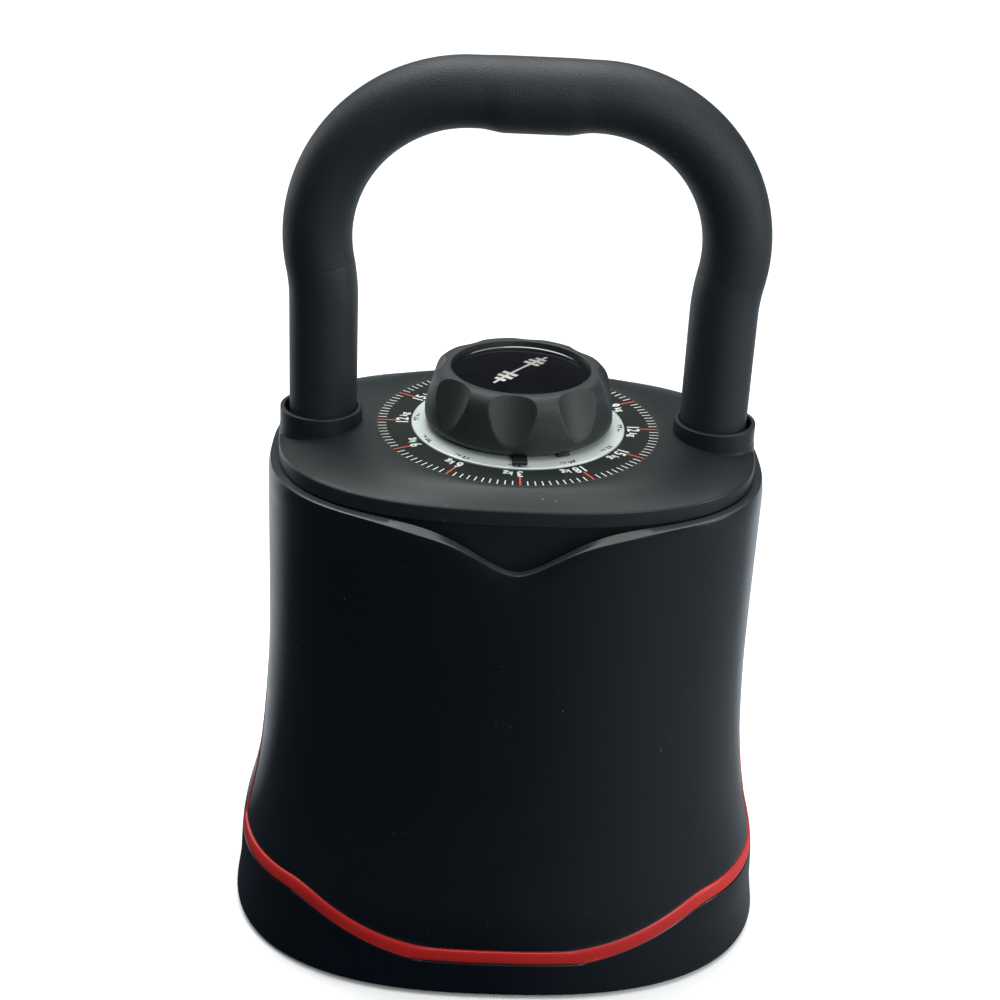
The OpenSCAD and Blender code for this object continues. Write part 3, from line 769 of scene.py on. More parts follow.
class StageOperator(bpy.types.Operator):
    """Lay the floor, set the softboxes and place the camera"""

    bl_idname = "kettlebell.stage"
    bl_label = "Stage"

    def execute(self, context):
        stage = look("stage")
        self.floor(stage)
        self.sky()
        self.softboxes(stage)
        self.camera(stage)
        context.scene.view_settings.view_transform = "Standard"
        return {"FINISHED"}

    def floor(self, stage):
        shape = bmesh.new()
        bmesh.ops.create_circle(shape, cap_ends=True, segments=96, radius=9.0)
        floor = settled(shape, "floor")
        material, tree, shader = new_finish("Floor Paint")
        patch = use_effect(tree, "Smudges", Scale=3.0)["Patch"]
        base = tuple(stage.floor_colour)
        pale = blend_colour(tree, patch, base, scuffed(base, 0.985))
        seen = tree.nodes.new("ShaderNodeLightPath").outputs["Is Camera Ray"]
        # The camera sees the pale floor; light bounced to the pieces takes the painted shade colour instead.
        feed(tree, shader.inputs["Base Color"], blend_colour(tree, seen, self.black_cards(tree), pale))
        shader.inputs["Roughness"].default_value = 0.9
        shader.inputs["Specular IOR Level"].default_value = 0.05
        floor.data.materials.append(material)

    def black_cards(self, tree):
        """Colour the floor bounces onto the pieces, not what the camera sees: painted dark in front, for
        painted shade and dark reflections on the pieces, and pale behind them and towards the right.
        """
        parts = add_node(tree, "ShaderNodeSeparateXYZ", Vector=placed_coordinates(tree)).outputs
        flat = add_node(tree, "ShaderNodeCombineXYZ", X=parts[0], Y=parts[1], Z=0.0).outputs[0]
        way = add_node(tree, "ShaderNodeVectorMath", {"operation": "NORMALIZE"})
        feed(tree, way.inputs[0], flat)
        ways = add_node(tree, "ShaderNodeSeparateXYZ", Vector=way.outputs[0]).outputs
        behind = spread(tree, ways[1], 0.28, 0.66)
        right = maths(tree, "MULTIPLY", spread(tree, ways[0], 0.0, 0.7), 0.34)
        part = maths(tree, "MAXIMUM", behind, right)
        return blend_colour(tree, part, (0.022, 0.028, 0.038), (0.56, 0.62, 0.66))

    def sky(self):
        """Pale ceiling over a darker room; what the camera sees directly is plain."""
        world = bpy.data.worlds.new("Studio Room")
        bpy.context.scene.world = world
        world.use_nodes = True
        tree = world.node_tree
        room = tree.nodes["Background"]
        parts = add_node(
            tree, "ShaderNodeSeparateXYZ", Vector=tree.nodes.new("ShaderNodeTexCoord").outputs["Generated"]
        ).outputs
        strength = spread(tree, parts[2], 0.56, 0.86, 0.035, 0.95)
        feed(tree, room.inputs["Color"], (0.93, 0.98, 1.0, 1))
        feed(tree, room.inputs["Strength"], strength)
        plain = add_node(tree, "ShaderNodeBackground", Color=(1, 1, 1, 1), Strength=1.0)
        seen = tree.nodes.new("ShaderNodeLightPath").outputs["Is Camera Ray"]
        mixed = tree.nodes.new("ShaderNodeMixShader")
        for socket, value in zip(mixed.inputs, (seen, room.outputs[0], plain.outputs[0])):
            tree.links.new(value, socket)
        tree.links.new(mixed.outputs[0], tree.nodes["World Output"].inputs["Surface"])

    def softboxes(self, stage):
        ceiling = bpy.data.lights.new("ceiling", "SUN")
        ceiling.energy = 2.25
        ceiling.angle = math.radians(70)
        bank = bpy.data.objects.new("ceiling", ceiling)
        bpy.context.scene.collection.objects.link(bank)
        bank.matrix_world = Matrix.Rotation(math.radians(-14), 4, "X")
        aim = Vector((0, 0, 0.22))
        boxes = {
            "softbox_top": ((-0.2, 0.5, 1.4), 0.8, 0.6, 0.3 * stage.softbox),
            "softbox_left": ((-1.3, 0.9, 0.6), 0.5, 1.2, 0.25 * stage.softbox),
            "softbox_right": ((1.25, -0.35, 0.55), 0.45, 0.5, 0.25 * stage.softbox),
            "softbox_front": ((0.9, -1.7, 1.25), 0.6, 0.6, 0.6 * stage.softbox),
        }
        for name, (place, width, height, power) in boxes.items():
            lamp = bpy.data.lights.new(name, "AREA")
            lamp.shape = "RECTANGLE"
            lamp.size = width
            lamp.size_y = height
            lamp.energy = power
            made = bpy.data.objects.new(name, lamp)
            bpy.context.scene.collection.objects.link(made)
            away = Vector(place) - aim
            turn = away.to_track_quat("Z", "Y").to_matrix().to_4x4()
            made.matrix_world = Matrix.Translation(place) @ turn

    def camera(self, stage):
        def outward(turn, rise):
            flat = math.cos(rise)
            return Vector((math.sin(turn) * flat, -math.cos(turn) * flat, math.sin(rise)))

        lens = bpy.data.cameras.new("camera")
        lens.lens = stage.lens
        camera = bpy.data.objects.new("camera", lens)
        bpy.context.scene.collection.objects.link(camera)
        bpy.context.scene.camera = camera
        place = Vector((0, 0, DIAL_Z)) + stage.distance * outward(stage.azimuth, stage.elevation)
        forward = -outward(stage.azimuth + stage.yaw, stage.elevation + stage.pitch)
        level = forward.cross(UP).normalized()
        upright = level.cross(forward)
        right = level * math.cos(stage.roll) + upright * math.sin(stage.roll)
        top = upright * math.cos(stage.roll) - level * math.sin(stage.roll)
        turn = Matrix((right, top, -forward)).transposed().to_4x4()
        camera.matrix_world = Matrix.Translation(place) @ turn


class ShellOperator(bpy.types.Operator):
    """Build the outer shell with its dipped rim, flared skirt and inner sleeve"""

    bl_idname = "kettlebell.shell"
    bl_label = "Outer Shell"

    def execute(self, context):
        housing = look("housing")
        sleeve = (housing.half_width - 0.9 * MM, housing.half_depth - 1.6 * MM)
        inner = (sleeve[0] - 2.8 * MM, sleeve[1] - 2.8 * MM)
        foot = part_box("outer_shell")[0].z
        skirt, rim = edge_ring(SKIRT_INSET, 1 * MM), self.rim_wall()
        rings = [
            body_ring(*inner, foot),
            body_ring(*inner, housing.rim - 26 * MM),
            rim_ring(4.4 * MM, 4 * MM),
            rim_ring(5.4 * MM, 3.6 * MM),
            rim_ring(5.4 * MM, 0.9 * MM),
            rim_ring(5.25 * MM, 0.4 * MM),
            rim_ring(4.95 * MM, 0.1 * MM),
            rim_ring(4.5 * MM, 0),
            rim_ring(2.1 * MM, 0, 1.6 * MM),
            rim_ring(1.45 * MM, 0.08 * MM, 1.9 * MM),
            rim_ring(0.95 * MM, 0.35 * MM, 2 * MM),
            rim_ring(0.8 * MM, 0.8 * MM, 2 * MM),
            rim,
            *between(rim, skirt, 40),
            skirt,
            edge_ring(0.5 * MM, 0.7 * MM),
            edge_ring(0.9 * MM, 0.5 * MM),
            self.step_ring(sleeve),
            body_ring(*sleeve, foot + 1 * MM),
            body_ring(sleeve[0] - 0.8 * MM, sleeve[1] - 0.8 * MM, foot),
        ]
        piece("shell_moulding", skin(rings), shell_finish(), "handle_unit", ["outer_shell"])
        return {"FINISHED"}

    def rim_wall(self):
        """Top ring of the outside, drawn in a little by the rim's draft."""
        return rim_ring(0.6 * MM, 1.5 * MM, 2 * MM)

    def step_ring(self, sleeve):
        """Ring where the skirt's underside meets the sleeve."""
        edge = edge_ring(0.9 * MM, 0.5 * MM)

        def ring(turn):
            return Vector((*outline(*sleeve, turn, look("housing").squareness), edge(turn).z))

        return ring


class CoverOperator(bpy.types.Operator):
    """Build the domed top cover with the two collars that hold the handle's legs"""

    bl_idname = "kettlebell.cover"
    bl_label = "Top Cover"

    def execute(self, context):
        housing, dial = look("housing"), look("dial")
        edge = DIAL_Z - 6 * MM
        brim = (0.1115, 0.08)
        apron = (brim[0] - 1.2 * MM, brim[1] - 1.2 * MM)
        inner = (apron[0] - 2.5 * MM, apron[1] - 2.5 * MM)
        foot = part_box("top_cover")[0].z
        ceiling = edge - 3.5 * MM
        rings = [
            body_ring(*inner, foot),
            body_ring(inner[0] + 0.6 * MM, inner[1] + 0.6 * MM, foot),
            body_ring(*apron, foot),
            body_ring(*apron, housing.rim - 0.4 * MM),
            body_ring(apron[0] + 0.2 * MM, apron[1] + 0.2 * MM, housing.rim),
            body_ring(brim[0] - 0.3 * MM, brim[1] - 0.3 * MM, housing.rim),
            body_ring(*brim, housing.rim + 0.4 * MM),
            body_ring(*brim, edge - 1 * MM),
            body_ring(brim[0] - 0.12 * MM, brim[1] - 0.12 * MM, edge - 0.55 * MM),
            body_ring(brim[0] - 0.5 * MM, brim[1] - 0.5 * MM, edge - 0.12 * MM),
            *[self.dome_ring(brim, edge, k / 18) for k in range(1, 19)],
            round_ring(dial.scale_radius + 0.08 * MM, DIAL_Z - 0.03 * MM),
            round_ring(dial.scale_radius + 0.05 * MM, DIAL_Z - 0.8 * MM),
            round_ring(0.04, DIAL_Z - 0.8 * MM),
            round_ring(0.013, DIAL_Z - 0.8 * MM),
            round_ring(0.013, DIAL_Z - 4 * MM),
            round_ring(0.048, DIAL_Z - 4 * MM),
            round_ring(0.048, ceiling),
            body_ring(*inner, ceiling),
        ]
        shape = skin(rings)
        for side in (-1, 1):
            middle = (side * (look("handle").leg_x + 0.9 * MM), 0)
            collar = soften([
                (0, DIAL_Z - 9 * MM, 0), (19.75 * MM, DIAL_Z - 9 * MM, 0), (19.6 * MM, DIAL_Z - 4 * MM, 0),
                (19.2 * MM, DIAL_Z - 2.6 * MM, 1 * MM), (19.15 * MM, DIAL_Z + 6.5 * MM, 0.7 * MM),
                (15 * MM, DIAL_Z + 6.5 * MM, 0), (0, DIAL_Z + 6.5 * MM, 0),
            ])
            shape = carved(shape, turned(collar, 144, middle), "UNION")
            bore = soften([
                (0, ceiling - 1 * MM, 0), (16.85 * MM, ceiling - 1 * MM, 0),
                (16.85 * MM, DIAL_Z + 5.8 * MM, 0.4 * MM),
                (17.6 * MM, DIAL_Z + 7 * MM, 0), (0, DIAL_Z + 7 * MM, 0),
            ])
            shape = carved(shape, turned(bore, 144, middle), "DIFFERENCE")
        piece("cover_moulding", shape, cover_finish(), "handle_unit", ["top_cover"])
        return {"FINISHED"}

    def dome_ring(self, brim, edge, part):
        """Ring of the dome, from the brim's outline to the scale's circle."""
        scale = look("dial").scale_radius + 0.6 * MM
        squareness = look("housing").squareness
        start = (brim[0] - 0.9 * MM, brim[1] - 0.9 * MM)
        half_width, half_depth = (size + (scale - size) * part for size in start)
        height = edge + (DIAL_Z - edge) * math.sin(math.pi / 2 * part)
        return body_ring(half_width, half_depth, height, squareness + (2 - squareness) * part)


class HandleOperator(bpy.types.Operator):
    """Build the soft grip over the arch and the sleeves on both legs"""

    bl_idname = "kettlebell.handle"
    bl_label = "Handle Sleeves"

    def execute(self, context):
        legs, arch = self.stations()
        seam = 0.14 * MM
        grip = self.sleeve(arch, seam)
        piece("grip_sleeve_foam", grip, grip_finish(), "handle_unit", ["grip_sleeve"])
        mirrored = [(-x, z, 2 * math.pi - heading, gone) for x, z, heading, gone in reversed(legs)]
        pair = joined([self.sleeve(legs, seam), self.sleeve(mirrored, seam)])
        piece("leg_sleeve_foam", pair, sleeve_finish(), "handle_unit", ["leg_sleeves"])
        return {"FINISHED"}

    def stations(self):
        """Stations (x, z, heading, swell) of one leg and of the arch between the seams."""
        handle = look("handle")
        lean = handle.tuck_angle
        seam_x = handle.leg_x + handle.tuck * (1 - math.cos(lean))
        corner_x = seam_x - handle.corner * math.cos(lean)
        corner_z = handle.top - handle.corner
        seam_z = corner_z - handle.corner * math.sin(lean)
        tuck_z = seam_z - handle.tuck * math.sin(lean)
        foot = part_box("leg_sleeves")[0].z
        legs = [(handle.leg_x, foot + (tuck_z - foot) * k / 8, math.pi / 2, 0) for k in range(8)]
        for k in range(11):
            a = lean * k / 10
            x = handle.leg_x + handle.tuck * (1 - math.cos(a))
            legs.append((x, tuck_z + handle.tuck * math.sin(a), math.pi / 2 - a, 0))
        half = []
        for k in range(49):
            a = -lean + (math.pi / 2 + lean) * k / 48
            x, z = corner_x + handle.corner * math.cos(a), corner_z + handle.corner * math.sin(a)
            half.append((x, z, math.pi / 2 + a, self.swell(x)))
        count = 28
        for k in range(1, count):
            x = corner_x * (1 - 2 * k / count)
            half.append((x, handle.top, math.pi, self.swell(x)))
        other = [(-x, z, 2 * math.pi - heading, gone) for x, z, heading, gone in reversed(half[:49])]
        return legs, half + other

    def swell(self, x):
        """How much the grip thickens in the palm."""
        return 0.9 * MM * smooth((0.025 - abs(x - 0.001)) / 0.012)

    def sleeve(self, stations, seam):
        """Sleeve along stations, its ends rounded by the seam."""
        handle = look("handle")
        bore = handle.tube_radius + 0.02 * MM

        def ring(station, radius, sag, shift=0.0):
            x, z, heading, _ = station
            ahead = Vector((math.cos(heading), 0, math.sin(heading)))
            out = Vector((math.sin(heading), 0, -math.cos(heading)))
            middle = Vector((x, 0, z - sag)) + ahead * shift

            def at(turn):
                return middle + out * (radius * math.cos(turn)) + Vector((0, radius * math.sin(turn), 0))

            return at

        first, last = stations[0], stations[-1]
        wall = [ring(s, handle.radius + s[3], 0.75 * s[3]) for s in stations[1:-1]]
        rings = [
            ring(first, bore, 0),
            ring(first, handle.radius - seam, 0),
            ring(first, handle.radius - 0.1 * seam, 0, 0.6 * seam),
            ring(first, handle.radius, 0, 1.6 * seam),
            *wall,
            ring(last, handle.radius, 0, -1.6 * seam),
            ring(last, handle.radius - 0.1 * seam, 0, -0.6 * seam),
            ring(last, handle.radius - seam, 0),
            ring(last, bore, 0),
            *[ring(s, bore, 0) for s in reversed(stations[1:-1])],
        ]
        return skin(rings, 96)


class DialFaceOperator(bpy.types.Operator):
    """Build the printed weight scale, its marks and numbers, and the pale ring inside it"""

    bl_idname = "kettlebell.dial_face"
    bl_label = "Dial Face"

    def execute(self, context):
        dial = look("dial")
        self.face(dial)
        self.marks(dial)
        self.ring(dial)
        self.numbers(dial)
        return {"FINISHED"}

    def face(self, dial):
        low, high = DIAL_Z - 0.8 * MM, DIAL_Z
        profile = soften([
            (dial.ring_radius, low, 0), (dial.scale_radius, low, 0), (dial.scale_radius, high, 0.15 * MM),
            (dial.ring_radius, high, 0), (dial.ring_radius, low, 0),
        ])
        piece(
            "scale_face", turned(profile, 192), face_finish(), "handle_unit", ["weight_scale"]
        )
        # Painted highlight: a thin pale ring along the scale's outer edge, standing in for light catching
        # the edge of the recess.
        edge = soften([
            (dial.scale_radius - 0.32 * MM, high - 0.05 * MM, 0),
            (dial.scale_radius - 0.12 * MM, high - 0.05 * MM, 0),
            (dial.scale_radius - 0.12 * MM, high + 0.03 * MM, 0),
            (dial.scale_radius - 0.32 * MM, high + 0.03 * MM, 0),
            (dial.scale_radius - 0.32 * MM, high - 0.05 * MM, 0),
        ])
        line = ink("Edge Line", (0.10, 0.11, 0.105))
        piece("scale_edge_glint", turned(edge, 192), line, "handle_unit")

    def marks(self, dial):
        """Every step has a long mark and nine short ones."""
        short, long = [], []
        for k in range(120):
            major = k % 10 == 0
            inner = 57.4 * MM if major else 61.9 * MM
            half = 0.42 * MM if major else 0.26 * MM
            bar = bmesh.new()
            place = Matrix.Translation(((inner + 65.9 * MM) / 2, 0, DIAL_Z))
            size = Matrix.Diagonal((65.9 * MM - inner, 2 * half, 0.08 * MM, 1))
            turn = Matrix.Rotation(math.radians(3 * k), 4, "Z")
            bmesh.ops.create_cube(bar, size=1, matrix=turn @ place @ size)
            (long if major else short).append(bar)
        pale = ink("Pale Print", tuple(dial.print_colour))
        red = ink("Red Print", tuple(dial.major_colour))
        piece("scale_short_marks", joined(short), pale, "handle_unit")
        piece("scale_long_marks", joined(long), red, "handle_unit")

    def ring(self, dial):
        outer = dial.ring_radius
        profile = soften([
            (34 * MM, DIAL_Z - 0.8 * MM, 0), (outer, DIAL_Z - 0.8 * MM, 0),
            (outer, DIAL_Z + 0.6 * MM, 0.25 * MM),
            (outer - 0.6 * MM, DIAL_Z + 0.85 * MM, 0.3 * MM), (40 * MM, DIAL_Z + 1.6 * MM, 0.6 * MM),
            (34 * MM, DIAL_Z + 1.6 * MM, 0), (34 * MM, DIAL_Z - 0.8 * MM, 0),
        ])
        piece(
            "pound_dish", turned(profile, 192), silver_finish(),
            "handle_unit", ["pound_ring"]
        )

    def numbers(self, dial):
        """Kilograms on the scale and pounds on the ring, six values twice round."""
        pounds = (7, 13, 20, 27, 33, 40)
        kilos_print, pounds_print = [], []
        for k in range(12):
            turn = -k * STEP
            kilos = str(3 * (k % 6 + 1))
            kilos_print.append(self.label(kilos, 8.0 * MM, 54.1 * MM, turn, DIAL_Z, 0.8))
            follow = (5.3 + 1.7 * (len(kilos) - 1)) / 54
            kilos_print.append(self.label("kg", 5.2 * MM, 54.0 * MM, turn - follow, DIAL_Z, 0.92))
            height = DIAL_Z + 1.02 * MM
            heavy = str(pounds[k % 6])
            pounds_print.append(self.label(heavy, 4.9 * MM, 47 * MM, turn, height, 0.78))
            follow = (3.7 + 0.95 * (len(heavy) - 1)) / 47
            pounds_print.append(self.label("lbs", 2.9 * MM, 47 * MM, turn - follow, height, 0.95))
        pale, black = bpy.data.materials["Pale Print"], ink("Black Print", (0.02, 0.022, 0.022))
        piece("kilogram_numbers", joined(kilos_print), pale, "handle_unit")
        piece("pound_numbers", joined(pounds_print), black, "handle_unit")

    def label(self, text, size, radius, turn, height, width):
        """Line of print with its tops outward, that reads clockwise from above."""
        line = bpy.data.curves.new("label", "FONT")
        line.body = text
        line.size = size
        line.offset = 0.024 * size
        line.space_character = 1.04
        line.extrude = 0.05 * MM
        line.resolution_u = 3
        line.align_x = "CENTER"
        line.align_y = "CENTER"
        holder = bpy.data.objects.new("label", line)
        bpy.context.scene.collection.objects.link(holder)
        mesh = bpy.data.meshes.new_from_object(holder.evaluated_get(bpy.context.evaluated_depsgraph_get()))
        bpy.data.objects.remove(holder)
        bpy.data.curves.remove(line)
        outward = Vector((math.sin(turn), -math.cos(turn), 0))
        along = Vector((outward.y, -outward.x, 0))
        basis = Matrix((along * width, outward, UP)).transposed().to_4x4()
        mesh.transform(Matrix.Translation(outward * radius + UP * height) @ basis)
        shape = bmesh.new()
        shape.from_mesh(mesh)
        bmesh.ops.remove_doubles(shape, verts=shape.verts[:], dist=1e-7)
        bpy.data.meshes.remove(mesh)
        return shape


class KnobOperator(bpy.types.Operator):
    """Build the scalloped knob, its glossy cap with a weight symbol, the pointer and the clips"""

    bl_idname = "kettlebell.knob"
    bl_label = "Knob"

    def execute(self, context):
        dial = look("dial")
        self.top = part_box("knob")[1].z
        self.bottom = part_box("knob")[0].z
        self.knob(dial)
        self.cap(dial)
        self.symbol()
        self.pointer()
        return {"FINISHED"}

    def knob(self, dial):
        top, bottom, radius = self.top, self.bottom, dial.knob_radius
        profile = soften([
            (8 * MM, top - 4.6 * MM, 0), (8 * MM, bottom, 0), (radius - 4.5 * MM, bottom, 0),
            (radius - 1.6 * MM, bottom, 0), (radius, bottom + 1.6 * MM, 1.4 * MM),
            (radius, bottom + 9 * MM, 6 * MM),
            (radius - 2.4 * MM, top - 4 * MM, 4 * MM), (radius - 6.2 * MM, top, 3 * MM),
            (32.6 * MM, top, 0.5 * MM), (31.9 * MM, top - 4.6 * MM, 0), (8 * MM, top - 4.6 * MM, 0),
        ], 6)
        profile = self.closer(profile, 0.55 * MM)
        shape = turned(profile, 576)
        for corner in shape.verts:
            reach = math.hypot(corner.co.x, corner.co.y)
            if reach > 33 * MM:
                kept = self.hollowed(dial, math.atan2(corner.co.x, -corner.co.y), reach, corner.co.z)
                corner.co.x *= kept / reach
                corner.co.y *= kept / reach
        piece("knob_moulding", shape, knob_finish(), "dial", ["knob"], 50)

    def closer(self, profile, gap):
        """Profile with extra points wherever two are far apart on the outside."""
        points = [profile[0]]
        for point in profile[1:]:
            last = points[-1]
            count = math.ceil((point - last).length / gap) if min(point.x, last.x) > 33 * MM else 1
            points.extend(last.lerp(point, k / count) for k in range(1, count + 1))
        return points

    def hollowed(self, dial, turn, reach, height):
        """Distance from the axis once the nearest finger hollow, a leaning cylinder, is cut away."""
        wide, lean = 22 * MM, 0.41
        middle = 36.2 * MM + lean * (self.top - 2.5 * MM - height) + wide
        pitch = 2 * math.pi / dial.scallops
        off = (turn - dial.knob_turn + pitch / 2) % pitch - pitch / 2
        inside = wide * wide - (middle * math.sin(off)) ** 2
        if inside <= 0:
            return reach
        near = middle * math.cos(off) - math.sqrt(inside)
        edge = 0.35 * MM
        mix = min(max(0.5 + (reach - near) / edge / 2, 0), 1)
        return reach * (1 - mix) + near * mix - edge * mix * (1 - mix)

    def cap(self, dial):
        top = self.top
        profile = soften([
            (0, top - 2.5 * MM, 0), (26 * MM, top - 2.7 * MM, 0), (27.5 * MM, top - 4.5 * MM, 0),
            (31.4 * MM, top - 4.5 * MM, 0), (31.4 * MM, top - 2.2 * MM, 0.3 * MM),
            (30.6 * MM, top - 2.2 * MM, 0.3 * MM),
            (30 * MM, top - 2.55 * MM, 0.4 * MM), (29 * MM, top - 2.5 * MM, 0),
        ], 6)
        profile += [Vector((r * MM, top - 1 * MM + self.sink(r * MM))) for r in range(28, -1, -2)]
        black = gloss("Gloss Black", tuple(dial.cap_colour))
        piece("cap_lens", turned(profile, 192), black, "dial", ["knob_cap"], 40)

    def symbol(self):
        """A bar with plates on both ends, laid diagonally across the cap."""
        turn = Matrix.Rotation(math.radians(53), 4, "Z")
        bars = [(0, 42, 1.3)]
        plates = ((8.5, 2.4, 8), (12.3, 2.4, 8), (16, 2.2, 5.6))
        for side in (-1, 1):
            bars += [(side * x, width, tall) for x, width, tall in plates]
        shapes = []
        for x, width, tall in bars:
            bar = bmesh.new()
            place = Matrix.Translation((x * MM, 0, self.top - 1.08 * MM))
            size = Matrix.Diagonal((width * MM, tall * MM, 0.3 * MM, 1))
            bmesh.ops.create_cube(bar, size=1, matrix=place @ size)
            bmesh.ops.subdivide_edges(bar, edges=bar.edges[:], cuts=6, use_grid_fill=True)
            for corner in bar.verts:
                reach = math.hypot(corner.co.x, corner.co.y)
                corner.co.z += self.sink(reach)
            bmesh.ops.transform(bar, matrix=turn, verts=bar.verts[:])
            shapes.append(bar)
        silver = machined("Silver Foil", (0.78, 0.78, 0.72), 0.35, 1500.0, 1.0, 0.02, 0.8)
        piece("cap_symbol", joined(shapes), silver, "dial")

    def sink(self, reach):
        """Drop of the cap's surface from its middle at a distance from the axis."""
        return -1.1 * MM * (reach / (25 * MM)) ** 2

    def pointer(self):
        low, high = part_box("pointer")
        black = moulded(
            "Pointer Plastic", (0.006, 0.006, 0.007), (0.012, 0.012, 0.013), 0.4, 0.4, 1500.0, 0.05
        )
        tip = block(low, high, 0.5 * MM)
        piece("pointer_tab", tip, black, "dial", ["pointer"])
        foot = soften([
            (35 * MM, self.bottom + 0.3 * MM, 0), (35 * MM, self.bottom - 1.3 * MM, 0),
            (39 * MM, self.bottom - 1.3 * MM, 0.3 * MM),
            (39.6 * MM, self.bottom + 0.3 * MM, 0), (35 * MM, self.bottom + 0.3 * MM, 0),
        ])
        clips = [turned(foot, 128)]
        near = (-3 * MM, -43.2 * MM, self.bottom - 1.5 * MM)
        far = (3 * MM, -38 * MM, self.bottom + 0.3 * MM)
        for turn in (28, 148, 268):
            clip = block(near, far, 0.3 * MM)
            around = Matrix.Rotation(math.radians(turn), 3, "Z")
            bmesh.ops.rotate(clip, verts=clip.verts[:], cent=(0, 0, 0), matrix=around)
            clips.append(clip)
        piece("knob_foot", joined(clips), black, "dial")


class TrayOperator(bpy.types.Operator):
    """Build the docking tray, the coloured band along its edge and the rubber feet"""

    bl_idname = "kettlebell.tray"
    bl_label = "Docking Tray"

    def execute(self, context):
        housing, tray = look("housing"), look("tray")
        self.well = (housing.half_width - 0.3 * MM, housing.half_depth - 1 * MM)
        self.tray(housing, tray)
        self.band(tray)
        self.feet()
        return {"FINISHED"}

    def tray(self, housing, tray):
        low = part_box("base_tray")[0].z
        floor, under = 12 * MM, 7 * MM
        seat, depth = -tray.band, 2.5 * MM
        widest = (housing.half_width + 18.2 * MM, housing.half_depth + 15.8 * MM)

        def scaled(part, height):
            return body_ring(self.well[0] * part, self.well[1] * part, height)

        def low_ring(inset, lift):
            return body_ring(widest[0] - inset, widest[1] - inset, low + lift)

        walls = []
        top, bottom = edge_ring(0, seat - 0.5 * MM), low_ring(0.16 * MM, 1.4 * MM)
        for k in range(1, 22):
            part = k / 22
            walls.append(self.wall_ring(top, bottom, part))
        rings = [
            scaled(0.30, floor - 1.2 * MM), scaled(0.31, floor - 1.2 * MM), scaled(0.325, floor),
            scaled(0.72, floor), scaled(0.73, floor - 1.2 * MM),
            scaled(0.76, floor - 1.2 * MM), scaled(0.77, floor),
            scaled(0.965, floor), scaled(0.985, floor + 0.8 * MM), scaled(0.998, floor + 3 * MM),
            self.lip_ring(-1.4 * MM), self.lip_ring(-0.5 * MM, 0.3 * MM), self.lip_ring(-0.1 * MM, 0.9 * MM),
            edge_ring(depth + 0.5 * MM, -0.1 * MM), edge_ring(depth + 0.12 * MM, -0.4 * MM),
            edge_ring(depth + 0.05 * MM, seat), edge_ring(1 * MM, seat - 0.1 * MM),
            edge_ring(0.25 * MM, seat - 0.2 * MM),
            top, *walls, bottom,
            low_ring(0.5 * MM, 0.5 * MM), low_ring(1.2 * MM, 0.08 * MM),
            low_ring(2 * MM, 0), low_ring(10 * MM, 0),
            low_ring(11 * MM, 0.4 * MM), low_ring(11 * MM, under - low),
            scaled(0.9, under), scaled(0.3, under),
        ]
        shape = skin(rings, closed=False)
        piece("tray_moulding", shape, tray_finish(), "base", ["base_tray"])

    def lip_ring(self, lift, outward=0.0):
        """Ring along the top of the well's wall."""
        edge = edge_ring(2.5 * MM, lift)

        def ring(turn):
            half = (self.well[0] + outward, self.well[1] + outward)
            return Vector((*outline(*half, turn, look("housing").squareness), edge(turn).z))

        return ring

    def wall_ring(self, top, bottom, part):
        def ring(turn):
            height = top(turn).z * (1 - part) + bottom(turn).z * part
            return skirt_point(turn, height, 0)

        return ring

    def band(self, tray):
        rings = [
            edge_ring(2.3 * MM, -tray.band + 0.25 * MM),
            edge_ring(0.9 * MM, -tray.band + 0.25 * MM),
            edge_ring(0.25 * MM, -tray.band + 0.4 * MM),
            edge_ring(0, -tray.band + 0.8 * MM),
            edge_ring(-0.06 * MM, -0.68 * tray.band),
            edge_ring(-0.08 * MM, -0.5 * tray.band),
            edge_ring(-0.06 * MM, -0.3 * tray.band),
            edge_ring(0, -0.9 * MM),
            edge_ring(0.18 * MM, -0.35 * MM),
            edge_ring(0.5 * MM, -0.12 * MM),
            edge_ring(1 * MM, -0.05 * MM),
            edge_ring(2.3 * MM, -0.05 * MM),
        ]
        piece("edge_strip", skin(rings), band_finish(), "base", ["edge_band"])

    def feet(self):
        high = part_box("feet")[1]
        radius = 9.5 * MM
        profile = soften([
            (0, high.z, 0), (radius, high.z, 0),
            (radius, 1.8 * MM, 0.6 * MM), (radius - 1 * MM, 0, 0.6 * MM),
            (6.6 * MM, 0, 0), (6.2 * MM, 0.7 * MM, 0), (5.2 * MM, 0.7 * MM, 0), (4.8 * MM, 0, 0),
            (3.0 * MM, 0, 0), (2.6 * MM, 0.7 * MM, 0), (0, 0.7 * MM, 0),
        ])
        places = [(side * (high.x - radius), end * (high.y - radius)) for side in (-1, 1) for end in (-1, 1)]
        shapes = [turned(profile, 64, place) for place in places]
        piece("rubber_feet", joined(shapes), rubber_finish(), "base", ["feet"])


